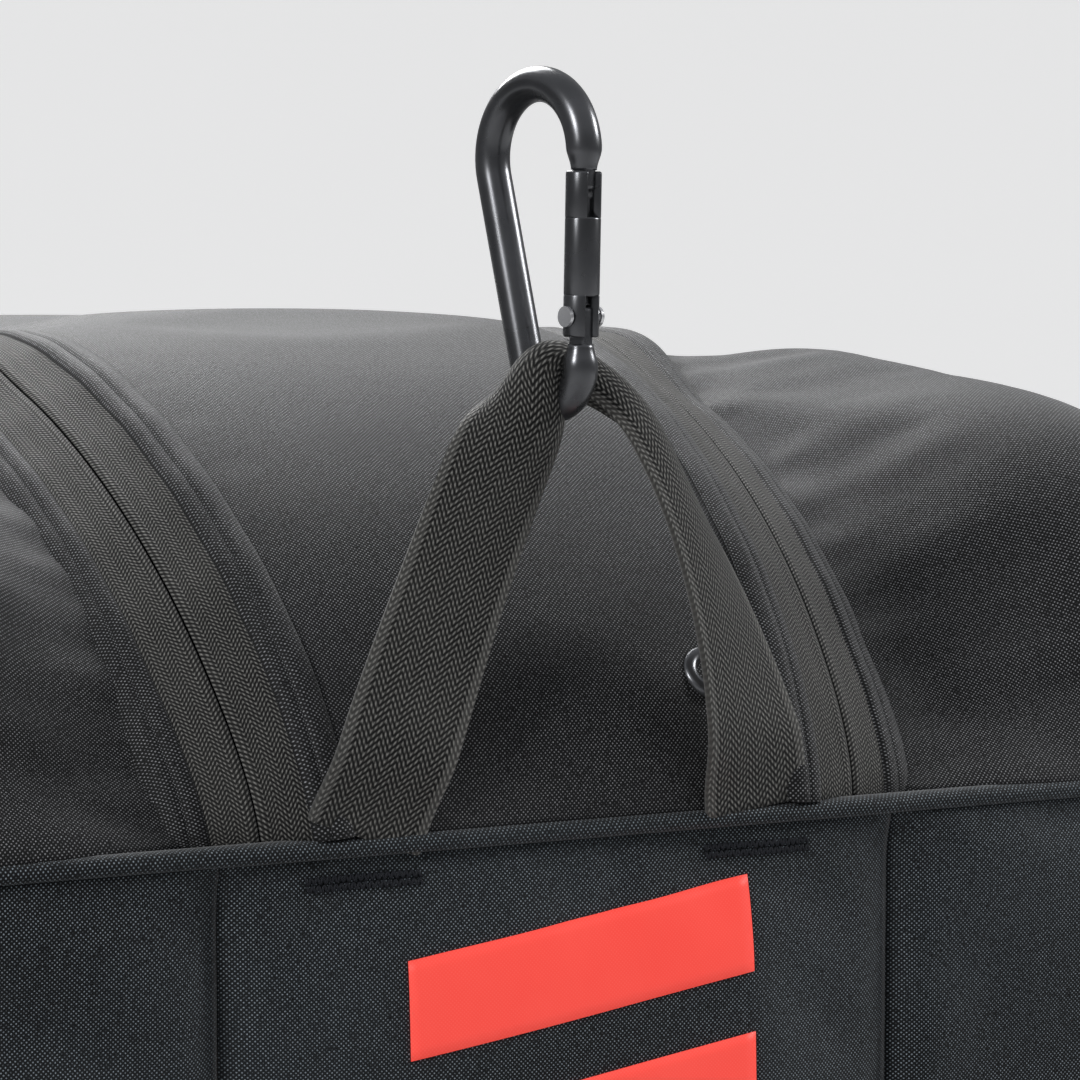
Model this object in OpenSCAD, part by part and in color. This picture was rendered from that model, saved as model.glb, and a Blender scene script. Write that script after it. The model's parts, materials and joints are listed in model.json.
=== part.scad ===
// Hockey equipment bag: a long soft duffel with a zipped lid, a hang loop and a carabiner.
// Origin: middle of the underside. +Z up, the hang loop end faces -Y, +X to the right of it.

/* [Bag] */
// Width across the sides
bag_w = 450; // [400:5:480]
// Length from end to end
bag_l = 900; // [800:10:960]
// Height of the filled bag
bag_h = 400; // [380:5:440]
// Thickness of a padded fabric wall
wall = 3; // [2:0.5:4]
// Corner radius seen from above
plan_r = 90; // [60:5:110]
// Radius of the long top edges
side_r = 80; // [60:5:100]
// Height of the end shoulders, which start at the end seam
shoulder_rise = 108; // [90:1:115]
// Depth over which an end shoulder curves back to the level top
shoulder_depth = 180; // [150:5:200]
// Fullness of the shoulder curve, where 2 is an ellipse
shoulder_fullness = 1.6; // [1.5:0.1:2]
// Half width of the middle end panel
end_half = 84; // [80:1:90]

/* [Lid and zip] */
// Half distance between the two zips at the end seam
zip_half = 74; // [68:1:76]
// How fast each zip spreads, per millimetre of run
zip_taper = 0.065; // [0.04:0.005:0.07]
// Visible width of one zip tape
tape_w = 13; // [11:0.5:14]
// Where the lid folds, behind the end face
fold_back = 190; // [190:1:220]
// Distance of the cross zip from the far end
cross_back = 190; // [190:5:220]

/* [Hang loop] */
// Width of the loop webbing
web_w = 25; // [20:1:28]
// Sideways place of the loop's middle
loop_x = -3; // [-5:1:5]
// Distance of each sewn loop end from the loop's middle
loop_foot = 49; // [42:1:52]
// Height of the loop above the end seam
loop_rise = 104; // [80:1:110]
// How far the top of the loop leans back over the shoulder
loop_lean = 11; // [0:1:15]

/* [Carabiner] */
// Diameter of the carabiner rod
rod_d = 8; // [7:0.5:8]
// Centre line radius of the small bow
bow_small = 9; // [9:0.5:10]
// Centre line radius of the large bow
bow_large = 16; // [14:0.5:18]
// Distance between the centres of the two bows
bow_gap = 47; // [46:1:50]
// Turn of the carabiner about the vertical
carabiner_turn = -75; // [-90:1:-60]
// Lean of the carabiner in its own plane
carabiner_lean = 7; // [0:1:10]

/* [Carry handles] */
// Width of the carry webbing
handle_w = 38; // [30:1:40]
// Distance between the two sewn ends of a handle
handle_span = 300; // [260:10:340]
// How far a handle hangs down
handle_drop = 170; // [120:5:180]

/* [Hidden] */

fabric = "#33363a";
webbing = "#3a3a3b";
metal = "#17181a";
arc_steps = 10;         // straight steps in a quarter turn of an outline
shoulder_steps = 14;    // straight steps along a shoulder curve
gap = 0.3;              // clearance between neighbouring pieces
front_y = -bag_l / 2;
seam_z = bag_h - shoulder_rise;
fold_y = front_y + fold_back;
cross_y = bag_l / 2 - cross_back;
spread_start = -(front_y + seam_z);     // makes y + z + spread_start zero at the end seam
base_t = 3;
board_t = 4;
welt_out = 2.5;
welt_h = 3;
tape_top = 0.6;         // tape depth below the outer surface
tape_t = 1.2;
coil_top = 2;
coil_t = 2.4;
coil_w = 3.2;
slit = 0.8;             // half of the gap between the two tape edges
shell_depth = 6;        // more than any layer reaches below the outer surface
cross_corner = 45;      // radius of the zip's far corners
yoke_half = zip_half + zip_taper * (cross_y + bag_h + spread_start) - cross_corner / 2;
eyelet_x = 40;
eyelet_up = 29;
eyelet_rim = 1.2;       // how much wider than its bore the cloth is cut for an eyelet
eyelet_out_r = 6.6;
eyelet_bore_r = 3.2;
loop_y = front_y - 6;
loop_t = 1.6;
rod_r = rod_d / 2;
tongue_t = 3;
pin_r = 1.5;
running = 0.05;         // radial clearance of a pin in its hole
gate_from = 6.5;
gate_to = 43;
gate_pivot = 11;
latch_at = 38;
slider_y = cross_y - 90;
handle_t = 3;
handle_band = 0.8 * handle_w;     // webbing of the free handle
handle_steps = 28;
wrap_reach = 0.28;      // share of the handle's run under the wrap
handle_x = bag_w / 2 + 5;
handle_z = seam_z - 18;
web_t = 1.8;
apex = [loop_x, loop_y + loop_lean, seam_z + loop_rise];

// ---- Outline functions ----

function arc(cx, cy, r, a0, a1, steps = arc_steps) =
    [for (i = [0:steps]) let (a = a0 + (a1 - a0) * i / steps) [cx + r * cos(a), cy + r * sin(a)]];

// Rounded rectangle centred on the origin.
function round_rect(w, h, r) = concat(
    arc(w / 2 - r, h / 2 - r, r, 0, 90), arc(-w / 2 + r, h / 2 - r, r, 90, 180),
    arc(-w / 2 + r, -h / 2 + r, r, 180, 270), arc(w / 2 - r, -h / 2 + r, r, 270, 360));

// Arch standing on zero, with rounded top corners.
function arch(half, top, r) = concat(
    [[-half, 0], [half, 0]], arc(half - r, top - r, r, 0, 90), arc(-half + r, top - r, r, 90, 180));

// Turn along the shoulder curve, from 0 at the seam to 90 at the top, gives its drop back and its rise.
function shoulder_back(turn, depth) = depth * (1 - pow(cos(turn), 2 / shoulder_fullness));
function shoulder_up(turn, rise) = rise * pow(sin(turn), 2 / shoulder_fullness);

// Long profile standing on zero, with a shoulder at each end.
function profile(half, top, depth, rise) =
    let (side = [for (i = [0:shoulder_steps]) let (turn = 90 * i / shoulder_steps)
        [half - shoulder_back(turn, depth), top - rise + shoulder_up(turn, rise)]])
    concat([[-half, 0], [half, 0]], side, [for (i = [shoulder_steps:-1:0]) [-side[i][0], side[i][1]]]);

function unit(v) = v / norm(v);
function clamp01(t) = max(0, min(1, t));
function smooth(t) = let (c = clamp01(t)) c * c * (3 - 2 * c);
function mix(a, b, t) = a + (b - a) * t;
function tangents(p) = [for (i = [0:len(p) - 1]) unit(p[min(i + 1, len(p) - 1)] - p[max(i - 1, 0)])];

// ---- General solids ----

// Solid swept through rings of points that all have the same count.
module sweep(rings) {
    n = len(rings[0]);
    m = len(rings);
    sides = [for (i = [0:m - 2], j = [0:n - 1]) let (a = i * n, b = (i + 1) * n, k = (j + 1) % n)
        each [[a + j, b + j, b + k], [a + j, b + k, a + k]]];
    caps = [[for (j = [0:n - 1]) j], [for (j = [n - 1:-1:0]) (m - 1) * n + j]];
    polyhedron([for (r = rings) each r], concat(sides, caps), convexity = 6);
}

// Flat strap along a path; across and normal are unit vectors at each point.
module strap(path, across, normal, w, t) {
    sweep([for (i = [0:len(path) - 1]) [
        for (c = [[-1, -1], [-1, 1], [1, 1], [1, -1]])
            path[i] + across[i] * c[0] * w[i] / 2 + normal[i] * c[1] * t[i] / 2]]);
}

// Round rod along a path that lies in the XY plane.
module flat_rod(path, r, sides = 20) {
    t = tangents(path);
    sweep([for (i = [0:len(path) - 1]) [
        for (j = [0:sides - 1]) let (a = -360 * j / sides, side = [t[i][1], -t[i][0], 0])
            path[i] + side * r * cos(a) + [0, 0, 1] * r * sin(a)]]);
}

// ---- Bag envelope and its cuts ----

// The filled bag's outer form, moved inwards by inset.
module bag_solid(inset) {
    intersection() {
        linear_extrude(bag_h - inset)
            polygon(round_rect(bag_w - 2 * inset, bag_l - 2 * inset, plan_r - inset));
        rotate([90, 0, 0]) linear_extrude(bag_l + 20, center = true)
            polygon(arch(bag_w / 2 - inset, bag_h - inset, side_r - inset));
        rotate([90, 0, 90]) linear_extrude(bag_w + 20, center = true)
            polygon(profile(bag_l / 2 - inset, bag_h - inset, shoulder_depth - inset, shoulder_rise - inset));
    }
}

module shell(outer, inner) {
    difference() {
        bag_solid(outer);
        bag_solid(inner);
    }
}

// Block inside the zip line, moved outwards by d. It stands square to the rise of the end
// shoulder, so one straight-sided outline serves the end face and the top alike.
module lid_wedge(d) {
    half_at = function (y) zip_half + zip_taper * (y + bag_h + spread_start) + d;
    along = function (p) [p[0], (p[1] + bag_h + spread_start) / sqrt(2)];
    r = cross_corner + d;
    near = front_y - bag_h;
    corner_y = cross_y - cross_corner;
    corner_x = half_at(corner_y) - r;
    outline = concat(
        [[-half_at(near), near], [half_at(near), near]],
        arc(corner_x, corner_y, r, 0, 90), arc(-corner_x, corner_y, r, 90, 180));
    intersection() {
        translate([0, 0, -spread_start]) rotate([45, 0, 0])
            linear_extrude(3 * bag_l, center = true) polygon([for (p = outline) along(p)]);
        half_space_y(-bag_l, cross_y + d + shell_depth);
    }
}

// Ring on both sides of the zip line between two offsets.
module zip_ring(inner, outer) {
    difference() {
        lid_wedge(outer);
        lid_wedge(inner);
    }
}

module slab(z0, z1) {
    translate([-bag_w, -bag_l, z0]) cube([2 * bag_w, 2 * bag_l, z1 - z0]);
}

module half_space_y(y0, y1) {
    translate([-bag_w, y0, -1]) cube([2 * bag_w, y1 - y0, 2 * bag_h]);
}

module above_seam() {
    slab(seam_z + gap, bag_h + 5);
}

// ---- Root panels ----

module base_panel() {
    color("#26282b") linear_extrude(base_t)
        polygon(round_rect(bag_w - 2, bag_l - 2, plan_r - 1));
}

module base_board() {
    inset = wall + 3;
    color("#8a7a5c") translate([0, 0, base_t + gap]) linear_extrude(board_t)
        polygon(round_rect(bag_w - 2 * inset, bag_l - 2 * inset, plan_r - inset));
}

// Lower wall between the base and the seam; keep is the part to keep.
module lower_wall() {
    intersection() {
        shell(0, wall);
        slab(base_t + gap, seam_z - gap);
        children();
    }
}

module end_panel(sign) {
    lower_wall() translate([-end_half, sign > 0 ? 0 : -bag_l, 0])
        cube([2 * end_half, bag_l, bag_h]);
}

module end_panel_front() {
    color(fabric) end_panel(-1);
}

module end_panel_rear() {
    color(fabric) end_panel(1);
}

// Long lower side that wraps round both corners to the end panels.
module side_lower(sign) {
    lower_wall() difference() {
        translate([sign > 0 ? 0 : -bag_w, -bag_l, 0]) cube([bag_w, 2 * bag_l, bag_h]);
        translate([-end_half - gap, -bag_l, -1]) cube([2 * (end_half + gap), 2 * bag_l, bag_h + 2]);
    }
}

module side_lower_left() {
    color(fabric) side_lower(-1);
}

module side_lower_right() {
    color(fabric) side_lower(1);
}

// Upper side from the outer tape edge outwards, up to the rear yoke.
module side_upper(sign) {
    intersection() {
        difference() {
            shell(0, wall);
            lid_wedge(tape_w + gap);
            translate([-yoke_half - gap, cross_y, 0])
                cube([2 * (yoke_half + gap), bag_l, bag_h + 5]);
        }
        above_seam();
        translate([sign > 0 ? 0.01 : -bag_w, -bag_l, 0]) cube([bag_w - 0.01, 2 * bag_l, bag_h + 5]);
    }
}

module side_upper_left() {
    color(fabric) side_upper(-1);
}

module side_upper_right() {
    color(fabric) side_upper(1);
}

module rear_yoke() {
    color(fabric) intersection() {
        difference() {
            shell(0, wall);
            lid_wedge(tape_w + gap);
        }
        above_seam();
        translate([-yoke_half, cross_y, 0]) cube([2 * yoke_half, bag_l, bag_h + 5]);
    }
}

// Puts its children on the front shoulder at x, with +Z pointing out of the cloth.
module eyelet_axis(x) {
    turn = asin(pow(eyelet_up / shoulder_rise, shoulder_fullness / 2));
    across = shoulder_back(turn + 1, shoulder_depth) - shoulder_back(turn - 1, shoulder_depth);
    up = shoulder_up(turn + 1, shoulder_rise) - shoulder_up(turn - 1, shoulder_rise);
    translate([x, front_y + shoulder_back(turn, shoulder_depth), seam_z + eyelet_up])
        rotate([atan2(up, across), 0, 0]) children();
}

// Fixed front stretch of the lid band, from the end seam to the fold.
module shoulder_panel() {
    color(fabric) difference() {
        intersection() {
            shell(0, wall);
            lid_wedge(-tape_w - gap);
            above_seam();
            half_space_y(-bag_l, fold_y - gap);
        }
        for (x = [-eyelet_x, eyelet_x]) eyelet_axis(x)
            cylinder(h = 30, r = eyelet_bore_r + eyelet_rim, center = true, $fn = 48);
    }
}

// Folded welt round the bag at the seam, which the hang loop's ends stand on.
module seam_welt() {
    color("#24272a") translate([0, 0, seam_z - welt_h]) difference() {
        linear_extrude(welt_h - gap)
            polygon(round_rect(bag_w + 2 * welt_out, bag_l + 2 * welt_out, plan_r + welt_out));
        translate([0, 0, -1]) linear_extrude(welt_h + 2)
            polygon(round_rect(bag_w + 2 * gap, bag_l + 2 * gap, plan_r + gap));
    }
}

module base_piping() {
    color("#1d1f21") translate([0, 0, base_t + gap]) difference() {
        linear_extrude(5) polygon(round_rect(bag_w + 7, bag_l + 7, plan_r + 3.5));
        translate([0, 0, -1]) linear_extrude(7)
            polygon(round_rect(bag_w + 2 * gap, bag_l + 2 * gap, plan_r + gap));
    }
}

// ---- Zip ----

module zip_layer(top, thick, inner, outer) {
    intersection() {
        shell(top, top + thick);
        zip_ring(inner, outer);
        above_seam();
    }
}

module zip_tape_outer() {
    color("#3b3d3f") zip_layer(tape_top, tape_t, slit, tape_w);
}

module zip_coil_outer() {
    color("#2b2c2e") zip_layer(coil_top, coil_t, slit, slit + coil_w);
}

module zip_tape_front() {
    color("#3b3d3f") intersection() {
        zip_layer(tape_top, tape_t, -tape_w, -slit);
        half_space_y(-bag_l, fold_y - gap);
    }
}

module zip_coil_front() {
    color("#2b2c2e") intersection() {
        zip_layer(coil_top, coil_t, -slit - coil_w, -slit);
        half_space_y(-bag_l, fold_y - gap);
    }
}

module zip_tape_lid() {
    color("#3b3d3f") intersection() {
        zip_layer(tape_top, tape_t, -tape_w, -slit);
        half_space_y(fold_y + gap, bag_l);
    }
}

module zip_coil_lid() {
    color("#2b2c2e") intersection() {
        zip_layer(coil_top, coil_t, -slit - coil_w, -slit);
        half_space_y(fold_y + gap, bag_l);
    }
}

module lid_panel() {
    color(fabric) intersection() {
        shell(0, wall);
        lid_wedge(-tape_w - gap);
        half_space_y(fold_y + gap, bag_l);
        slab(bag_h - 10, bag_h + 5);
    }
}

// Puts its children on the straight zip run at y, with +Y along the zip and +X outwards.
module on_zip(sign, y) {
    x = zip_half + zip_taper * (y + bag_h + spread_start);
    translate([sign * x, y, bag_h]) rotate([0, 0, -sign * atan(zip_taper)])
        mirror([sign > 0 ? 0 : 1, 0, 0]) children();
}

// Slider: a top plate over both tapes, a post in the slit, and a lower plate that grips the
// lid's coil only, so that the lid can lift it off the fixed tape.
module slider(sign) {
    color(metal) on_zip(sign, slider_y) {
        translate([-5, -8, 0.2]) cube([10, 16, 1.6]);
        translate([-0.5, -6, -5.6]) cube([1, 12, 6]);
        translate([-5, -6, -6.4]) cube([5.5, 12, 1]);
        difference() {
            translate([-2.2, -5, 1.6]) cube([4.4, 5, 3.6]);
            translate([-3, -2.5, 3.6]) rotate([0, 90, 0]) cylinder(h = 6, r = 0.8 + running, $fn = 24);
        }
    }
}

module slider_left() {
    slider(-1);
}

module slider_right() {
    slider(1);
}

// Pull: a pin through the slider's bridge, two arms and a moulded tab.
module pull(sign) {
    color("#202123") on_zip(sign, slider_y) {
        translate([-3.6, -2.5, 3.6]) rotate([0, 90, 0]) cylinder(h = 7.2, r = 0.8, $fn = 24);
        for (x = [-4.6, 2.8]) translate([x, -12, 2.7]) cube([1.8, 10.7, 1.8]);
        translate([-4.6, -14, 2.7]) cube([9.2, 5, 1.8]);
        translate([-4.6, -40, 2.4]) linear_extrude(2.4) translate([4.6, 13]) polygon(round_rect(9.2, 27, 3));
    }
}

module pull_left() {
    pull(-1);
}

module pull_right() {
    pull(1);
}

// ---- Small fittings on the end ----

module vent_eyelets() {
    color(metal) for (x = [-eyelet_x, eyelet_x]) eyelet_axis(x) rotate_extrude($fn = 48) polygon([
        [eyelet_bore_r, -wall - 0.4], [eyelet_bore_r + 0.8, -wall - 0.4], [eyelet_bore_r + 0.8, 0.6],
        [eyelet_out_r, 0.6], [eyelet_out_r - 0.5, 1.6], [eyelet_bore_r + 1, 2], [eyelet_bore_r, 1.2]]);
}

module eyelet_washers() {
    color("silver") for (x = [-eyelet_x, eyelet_x]) eyelet_axis(x) translate([0, 0, -wall - 1.6])
        difference() {
            cylinder(h = 1, r = eyelet_out_r, $fn = 48);
            translate([0, 0, -1]) cylinder(h = 3, r = eyelet_bore_r, $fn = 48);
        }
}

// Plain slanted bars down the middle end panel.
module print_bars() {
    bar_h = 22;
    pitch = 36;
    half = 43;
    slant = 12;
    color("#f0504a") for (i = [0:4]) {
        top = seam_z - 14 - i * pitch;
        translate([0, front_y - gap, 0]) rotate([90, 0, 0]) linear_extrude(0.5)
            polygon([[-half, top - slant], [half, top], [half, top - bar_h], [-half, top - bar_h - slant]]);
    }
}

// Zigzag stitch blocks under each end of the hang loop.
module loop_bartacks() {
    color("#1c2029") for (x = [loop_x - loop_foot, loop_x + loop_foot])
        translate([x - 13, front_y - 1.3, seam_z - 8]) cube([26, 1, 4]);
}

// ---- Hang loop ----

loop_steps = 40;
gathered = 0.13;        // share of each leg that is gathered inside the carabiner
gathered_w = 6.4;
gathered_t = 3.6;
flare = 4;              // how much wider the slanted ends are than the webbing
crossing = [cos(carabiner_turn), sin(carabiner_turn), 0];   // across the webbing at the top

function loop_s(i) = -1 + 2 * i / loop_steps;
// Half way between a straight leg and a quarter ellipse; the top follows the carabiner's turn.
function loop_point(s) = let (x = loop_foot / 2 * s * (abs(s) + sqrt(2 - s * s))) [
    loop_x + x, loop_y + loop_lean * (1 - s * s) - x * crossing[0] / crossing[1] * exp(-x * x / 100),
    apex[2] + 0.5 - (loop_rise - 0.3) * s * s];
function past_gather(s, run) = smooth((abs(s) - gathered) / run);
// Turn of the webbing about its own run: flat on the left, edge-on high on the right.
function loop_twist(s) = 90 * (1 - past_gather(s, s < 0 ? 0.25 : 0.8));
function loop_width(s) = mix(gathered_w, web_w, past_gather(s, 0.3)) + flare * smooth((abs(s) - 0.6) / 0.4);
function loop_thick(s) = mix(gathered_t, loop_t, past_gather(s, 0.25));

module hang_loop() {
    turns = [for (i = [0:loop_steps]) loop_s(i)];
    path = [for (s = turns) loop_point(s)];
    along = tangents(path);
    // Across a leg when flat, easing to level at the seam so that the ends are cut to it.
    flat = [for (i = [0:loop_steps]) let (square = [along[i][2], 0, -along[i][0]])
        unit(mix(square, [sign(square[0]), 0, 0], smooth((abs(turns[i]) - 0.55) / 0.45)))];
    across = [for (i = [0:loop_steps]) let (a = loop_twist(turns[i]))
        unit((turns[i] < 0 ? 1 : -1) * flat[i] * cos(a) + crossing * sin(a))];
    normal = [for (i = [0:loop_steps]) unit(cross(along[i], across[i]))];
    color(webbing) strap(path, across, normal,
        [for (s = turns) loop_width(s)], [for (s = turns) loop_thick(s)]);
}

// ---- Carabiner, drawn in its own plane: X across, Y up, small bow centred on the origin ----

module place_carabiner() {
    translate(apex) rotate([90, 0, carabiner_turn]) rotate([0, 0, carabiner_lean]) children();
}

side_slope = asin((bow_large - bow_small) / bow_gap);
// Point on the gate side's centre line, t along it from the small bow.
function gate_line(t) = [
    bow_small * cos(side_slope) + t * sin(side_slope), -bow_small * sin(side_slope) + t * cos(side_slope)];
gate_run = bow_gap * cos(side_slope);

module on_gate_line() {
    translate([gate_line(0)[0], gate_line(0)[1], 0]) rotate([0, 0, -side_slope]) children();
}

function lift(points) = [for (p = points) [p[0], p[1], 0]];

module carabiner_body() {
    rod_path = concat(
        [for (t = [4, 2]) gate_line(t)],
        arc(0, 0, bow_small, -side_slope, -180 + side_slope, 16),
        arc(0, bow_gap, bow_large, 180 + side_slope, -side_slope, 24),
        [for (t = [gate_run - 1, gate_run - 2]) gate_line(t)]);
    color(metal) place_carabiner() difference() {
        union() {
            flat_rod(lift(rod_path), rod_r);
            on_gate_line() {
                translate([-3, 1, -tongue_t / 2]) cube([6, gate_pivot, tongue_t]);
                translate([-3, latch_at - 4, -tongue_t / 2]) cube([6, gate_run - latch_at + 3, tongue_t]);
            }
        }
        on_gate_line() {
            translate([0, gate_pivot, 0]) cylinder(h = 20, r = pin_r + running, center = true, $fn = 32);
            translate([-5, latch_at - 1.4, -5]) cube([6.4, 2.8, 10]);
        }
    }
}

module gate_rivet() {
    color("silver") place_carabiner() on_gate_line() translate([0, gate_pivot, 0]) {
        cylinder(h = 2 * rod_r + 0.4, r = pin_r, center = true, $fn = 32);
        for (s = [-1, 1]) translate([0, 0, s * (rod_r + 0.5)])
            cylinder(h = 0.8, r = 2.3, center = true, $fn = 32);
    }
}

module carabiner_gate() {
    slot = tongue_t + 0.6;
    color(metal) place_carabiner() on_gate_line() difference() {
        translate([0, gate_from, 0]) rotate([-90, 0, 0])
            cylinder(h = gate_to - gate_from, r = rod_r, $fn = 40);
        translate([-6, gate_from - 1, -slot / 2]) cube([12, 10, slot]);
        translate([-6, latch_at - 5, -slot / 2]) cube([12, 12, slot]);
        translate([0, gate_pivot, 0]) cylinder(h = 20, r = pin_r + running, center = true, $fn = 32);
        for (s = [-1, 1]) translate([0, gate_pivot, s * (rod_r + 0.5)])
            cylinder(h = 1.2, r = 2.4, center = true, $fn = 32);
        translate([0, latch_at, 0]) cylinder(h = 2 * rod_r - 1.6, r = 1.05, center = true, $fn = 24);
        translate([0, gate_from + 8, 0]) rotate([-90, 0, 0]) cylinder(h = 16, r = 2, $fn = 32);
    }
}

module gate_latch_pin() {
    color("silver") place_carabiner() on_gate_line() translate([0, latch_at, 0])
        cylinder(h = 2 * rod_r - 2, r = 1, center = true, $fn = 24);
}

// Small coil spring in the gate's blind hole.
module gate_spring() {
    turns = 7;
    steps = 14;
    coil_r = 1.35;
    wire_r = 0.28;
    length = 12.5;
    path = [for (i = [0:turns * steps]) let (a = 360 * i / steps)
        [coil_r * cos(a), coil_r * sin(a), length * i / (turns * steps)]];
    rings = [for (p = path) let (out = unit([p[0], p[1], 0]))
        [for (j = [0:5]) p + out * wire_r * cos(60 * j) + [0, 0, 1] * wire_r * sin(60 * j)]];
    color("silver") place_carabiner() on_gate_line() translate([0, gate_from + 9.4, 0])
        rotate([-90, 0, 0]) sweep(rings);
}

// ---- Carry handles ----

module side_frame(sign) {
    mirror([sign > 0 ? 1 : 0, 0, 0]) children();
}

// Two sewn webbing runs down a side.
module handle_webbing(sign) {
    color(webbing) side_frame(sign) for (y = [-handle_span / 2, handle_span / 2])
        translate([-bag_w / 2 - web_t - gap, y - handle_w / 2, 14])
            cube([web_t, handle_w, handle_z - 16]);
}

module handle_webbing_left() {
    handle_webbing(-1);
}

module handle_webbing_right() {
    handle_webbing(1);
}

// Hanging handle drawn on the left side; s runs from -1 to 1 between its sewn ends.
function handle_point(s) = [
    -handle_x, handle_span / 2 * sin(90 * s), handle_z - handle_drop * pow(cos(90 * s), 0.6)];

// Stretch of handle between -reach and reach, with its section widened by grow.
module handle_run(reach, w, t) {
    path = [for (i = [0:handle_steps]) handle_point(reach * (-1 + 2 * i / handle_steps))];
    along = tangents(path);
    strap(path, [for (v = along) unit(cross(v, [1, 0, 0]))], [for (v = along) [1, 0, 0]],
        [for (v = along) w], [for (v = along) t]);
}

module handle_left() {
    color(webbing) handle_run(1, handle_band, handle_t);
}

module handle_right() {
    color(webbing) mirror([1, 0, 0]) handle_run(1, handle_band, handle_t);
}

// Padded wrap round the middle of the left handle.
module handle_wrap() {
    color("#232426") difference() {
        handle_run(wrap_reach, handle_band + 7, handle_t + 5);
        handle_run(wrap_reach + 0.05, handle_band + 2, handle_t + 1);
    }
}

base_panel();
base_board();
end_panel_front();
end_panel_rear();
side_lower_left();
side_lower_right();
side_upper_left();
side_upper_right();
shoulder_panel();
rear_yoke();
seam_welt();
base_piping();
zip_tape_outer();
zip_coil_outer();
zip_tape_front();
zip_coil_front();
vent_eyelets();
eyelet_washers();
print_bars();
loop_bartacks();
handle_webbing_left();
handle_webbing_right();
lid_panel();
zip_tape_lid();
zip_coil_lid();
slider_left();
slider_right();
pull_left();
pull_right();
hang_loop();
carabiner_body();
gate_rivet();
carabiner_gate();
gate_latch_pin();
gate_spring();
handle_left();
handle_right();
handle_wrap();
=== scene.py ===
import json
import math

import bmesh
import bpy
import numpy as np
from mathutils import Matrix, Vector
from mathutils.bvhtree import BVHTree


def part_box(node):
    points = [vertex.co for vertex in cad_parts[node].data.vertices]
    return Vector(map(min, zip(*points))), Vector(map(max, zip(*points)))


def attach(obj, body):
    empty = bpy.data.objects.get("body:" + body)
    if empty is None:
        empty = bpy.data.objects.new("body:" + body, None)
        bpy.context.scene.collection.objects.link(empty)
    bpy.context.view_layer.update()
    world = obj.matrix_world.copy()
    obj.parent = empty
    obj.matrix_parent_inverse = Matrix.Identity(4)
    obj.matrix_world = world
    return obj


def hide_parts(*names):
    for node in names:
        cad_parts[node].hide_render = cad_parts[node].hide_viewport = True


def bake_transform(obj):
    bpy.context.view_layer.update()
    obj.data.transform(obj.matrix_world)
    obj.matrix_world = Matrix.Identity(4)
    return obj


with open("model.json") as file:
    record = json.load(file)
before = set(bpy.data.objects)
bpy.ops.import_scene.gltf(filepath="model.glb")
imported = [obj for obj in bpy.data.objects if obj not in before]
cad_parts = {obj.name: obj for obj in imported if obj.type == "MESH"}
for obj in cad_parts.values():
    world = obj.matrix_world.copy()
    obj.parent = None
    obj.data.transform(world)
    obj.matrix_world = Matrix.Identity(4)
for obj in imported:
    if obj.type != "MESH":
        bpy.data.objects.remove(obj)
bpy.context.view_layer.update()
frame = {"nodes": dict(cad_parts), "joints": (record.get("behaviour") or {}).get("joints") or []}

MM = 0.001
RNG_SEED = 7
RIPPLES = 6  # sine waves that make up one set of folds
SIDE_NAME = {-1: "left", 1: "right"}

# ---- Sizes read from the frame ----

JOINTS = {j["name"]: j for j in frame["joints"]}
HALF_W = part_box("side_lower_right")[1].x
HALF_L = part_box("side_lower_right")[1].y
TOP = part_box("lid_panel")[1].z
SEAM_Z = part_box("side_upper_left")[0].z
BASE_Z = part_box("side_lower_left")[0].z
RISE = TOP - SEAM_Z  # height of the upper half
SLIT = 0.8 * MM
FOLD_Y = JOINTS["lid_fold"]["pos_m"][1]
ZIP_AT_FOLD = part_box("zip_tape_front")[1].x + SLIT
SLIDE = JOINTS["slider_right_travel"]["axis"]
TAPER = SLIDE[0] / SLIDE[1]  # sideways spread of each zip per metre of run
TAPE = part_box("zip_tape_outer")[1].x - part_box("zip_tape_lid")[1].x - 2 * SLIT
CROSS_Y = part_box("zip_tape_lid")[1].y + SLIT
CROSS_CORNER = 45 * MM
YOKE_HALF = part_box("rear_yoke")[1].x
END_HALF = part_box("end_panel_front")[1].x
LOOP_HINGE = Vector(JOINTS["loop_swing"]["pos_m"])
APEX = Vector(JOINTS["carabiner_swing"]["pos_m"])
LOOP_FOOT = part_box("loop_bartacks")[1].x - 13 * MM - APEX.x
SWING_AXIS = Vector(JOINTS["carabiner_swing"]["axis"])


def total_run(lengths):
    """Running total of lengths, from 0."""
    return np.concatenate([[0], np.cumsum(lengths)])


EDGE_R = 85 * MM  # rounding of the upper half across the bag
PLAN_R = 90 * MM  # corner radius seen from above
DEPTH = 180 * MM  # depth of an end shoulder
FULLNESS = 1.6  # 2 would make the shoulder an ellipse
TURN = np.linspace(0, math.pi / 2, 500)
BACK = np.cos(TURN) ** (2 / FULLNESS)
UP = np.sin(TURN) ** (2 / FULLNESS)
CURVE_RUN = total_run(np.hypot(DEPTH * np.diff(BACK), RISE * np.diff(UP)))
LEAN_Y = np.gradient(RISE * UP, CURVE_RUN)
LEAN_Z = -np.gradient(DEPTH * BACK, CURVE_RUN)
SHOULDER_RUN = CURVE_RUN[-1]
DIP_FROM = FOLD_Y + 10 * MM  # the slack top dips between the fold and the sliders
DIP_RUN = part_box("slider_right")[0].y - 10 * MM - DIP_FROM
DIP_DEEP = 12 * MM
MIDDLE_RUN = 2 * (HALF_L - DEPTH)
FULL_RUN = 2 * SHOULDER_RUN + MIDDLE_RUN
SECTION_RUN = HALF_W - EDGE_R + math.pi / 2 * EDGE_R + RISE - EDGE_R
T_CORNER = SHOULDER_RUN + (CROSS_Y - CROSS_CORNER) + HALF_L - DEPTH
T_CROSS = T_CORNER + CROSS_CORNER


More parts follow.
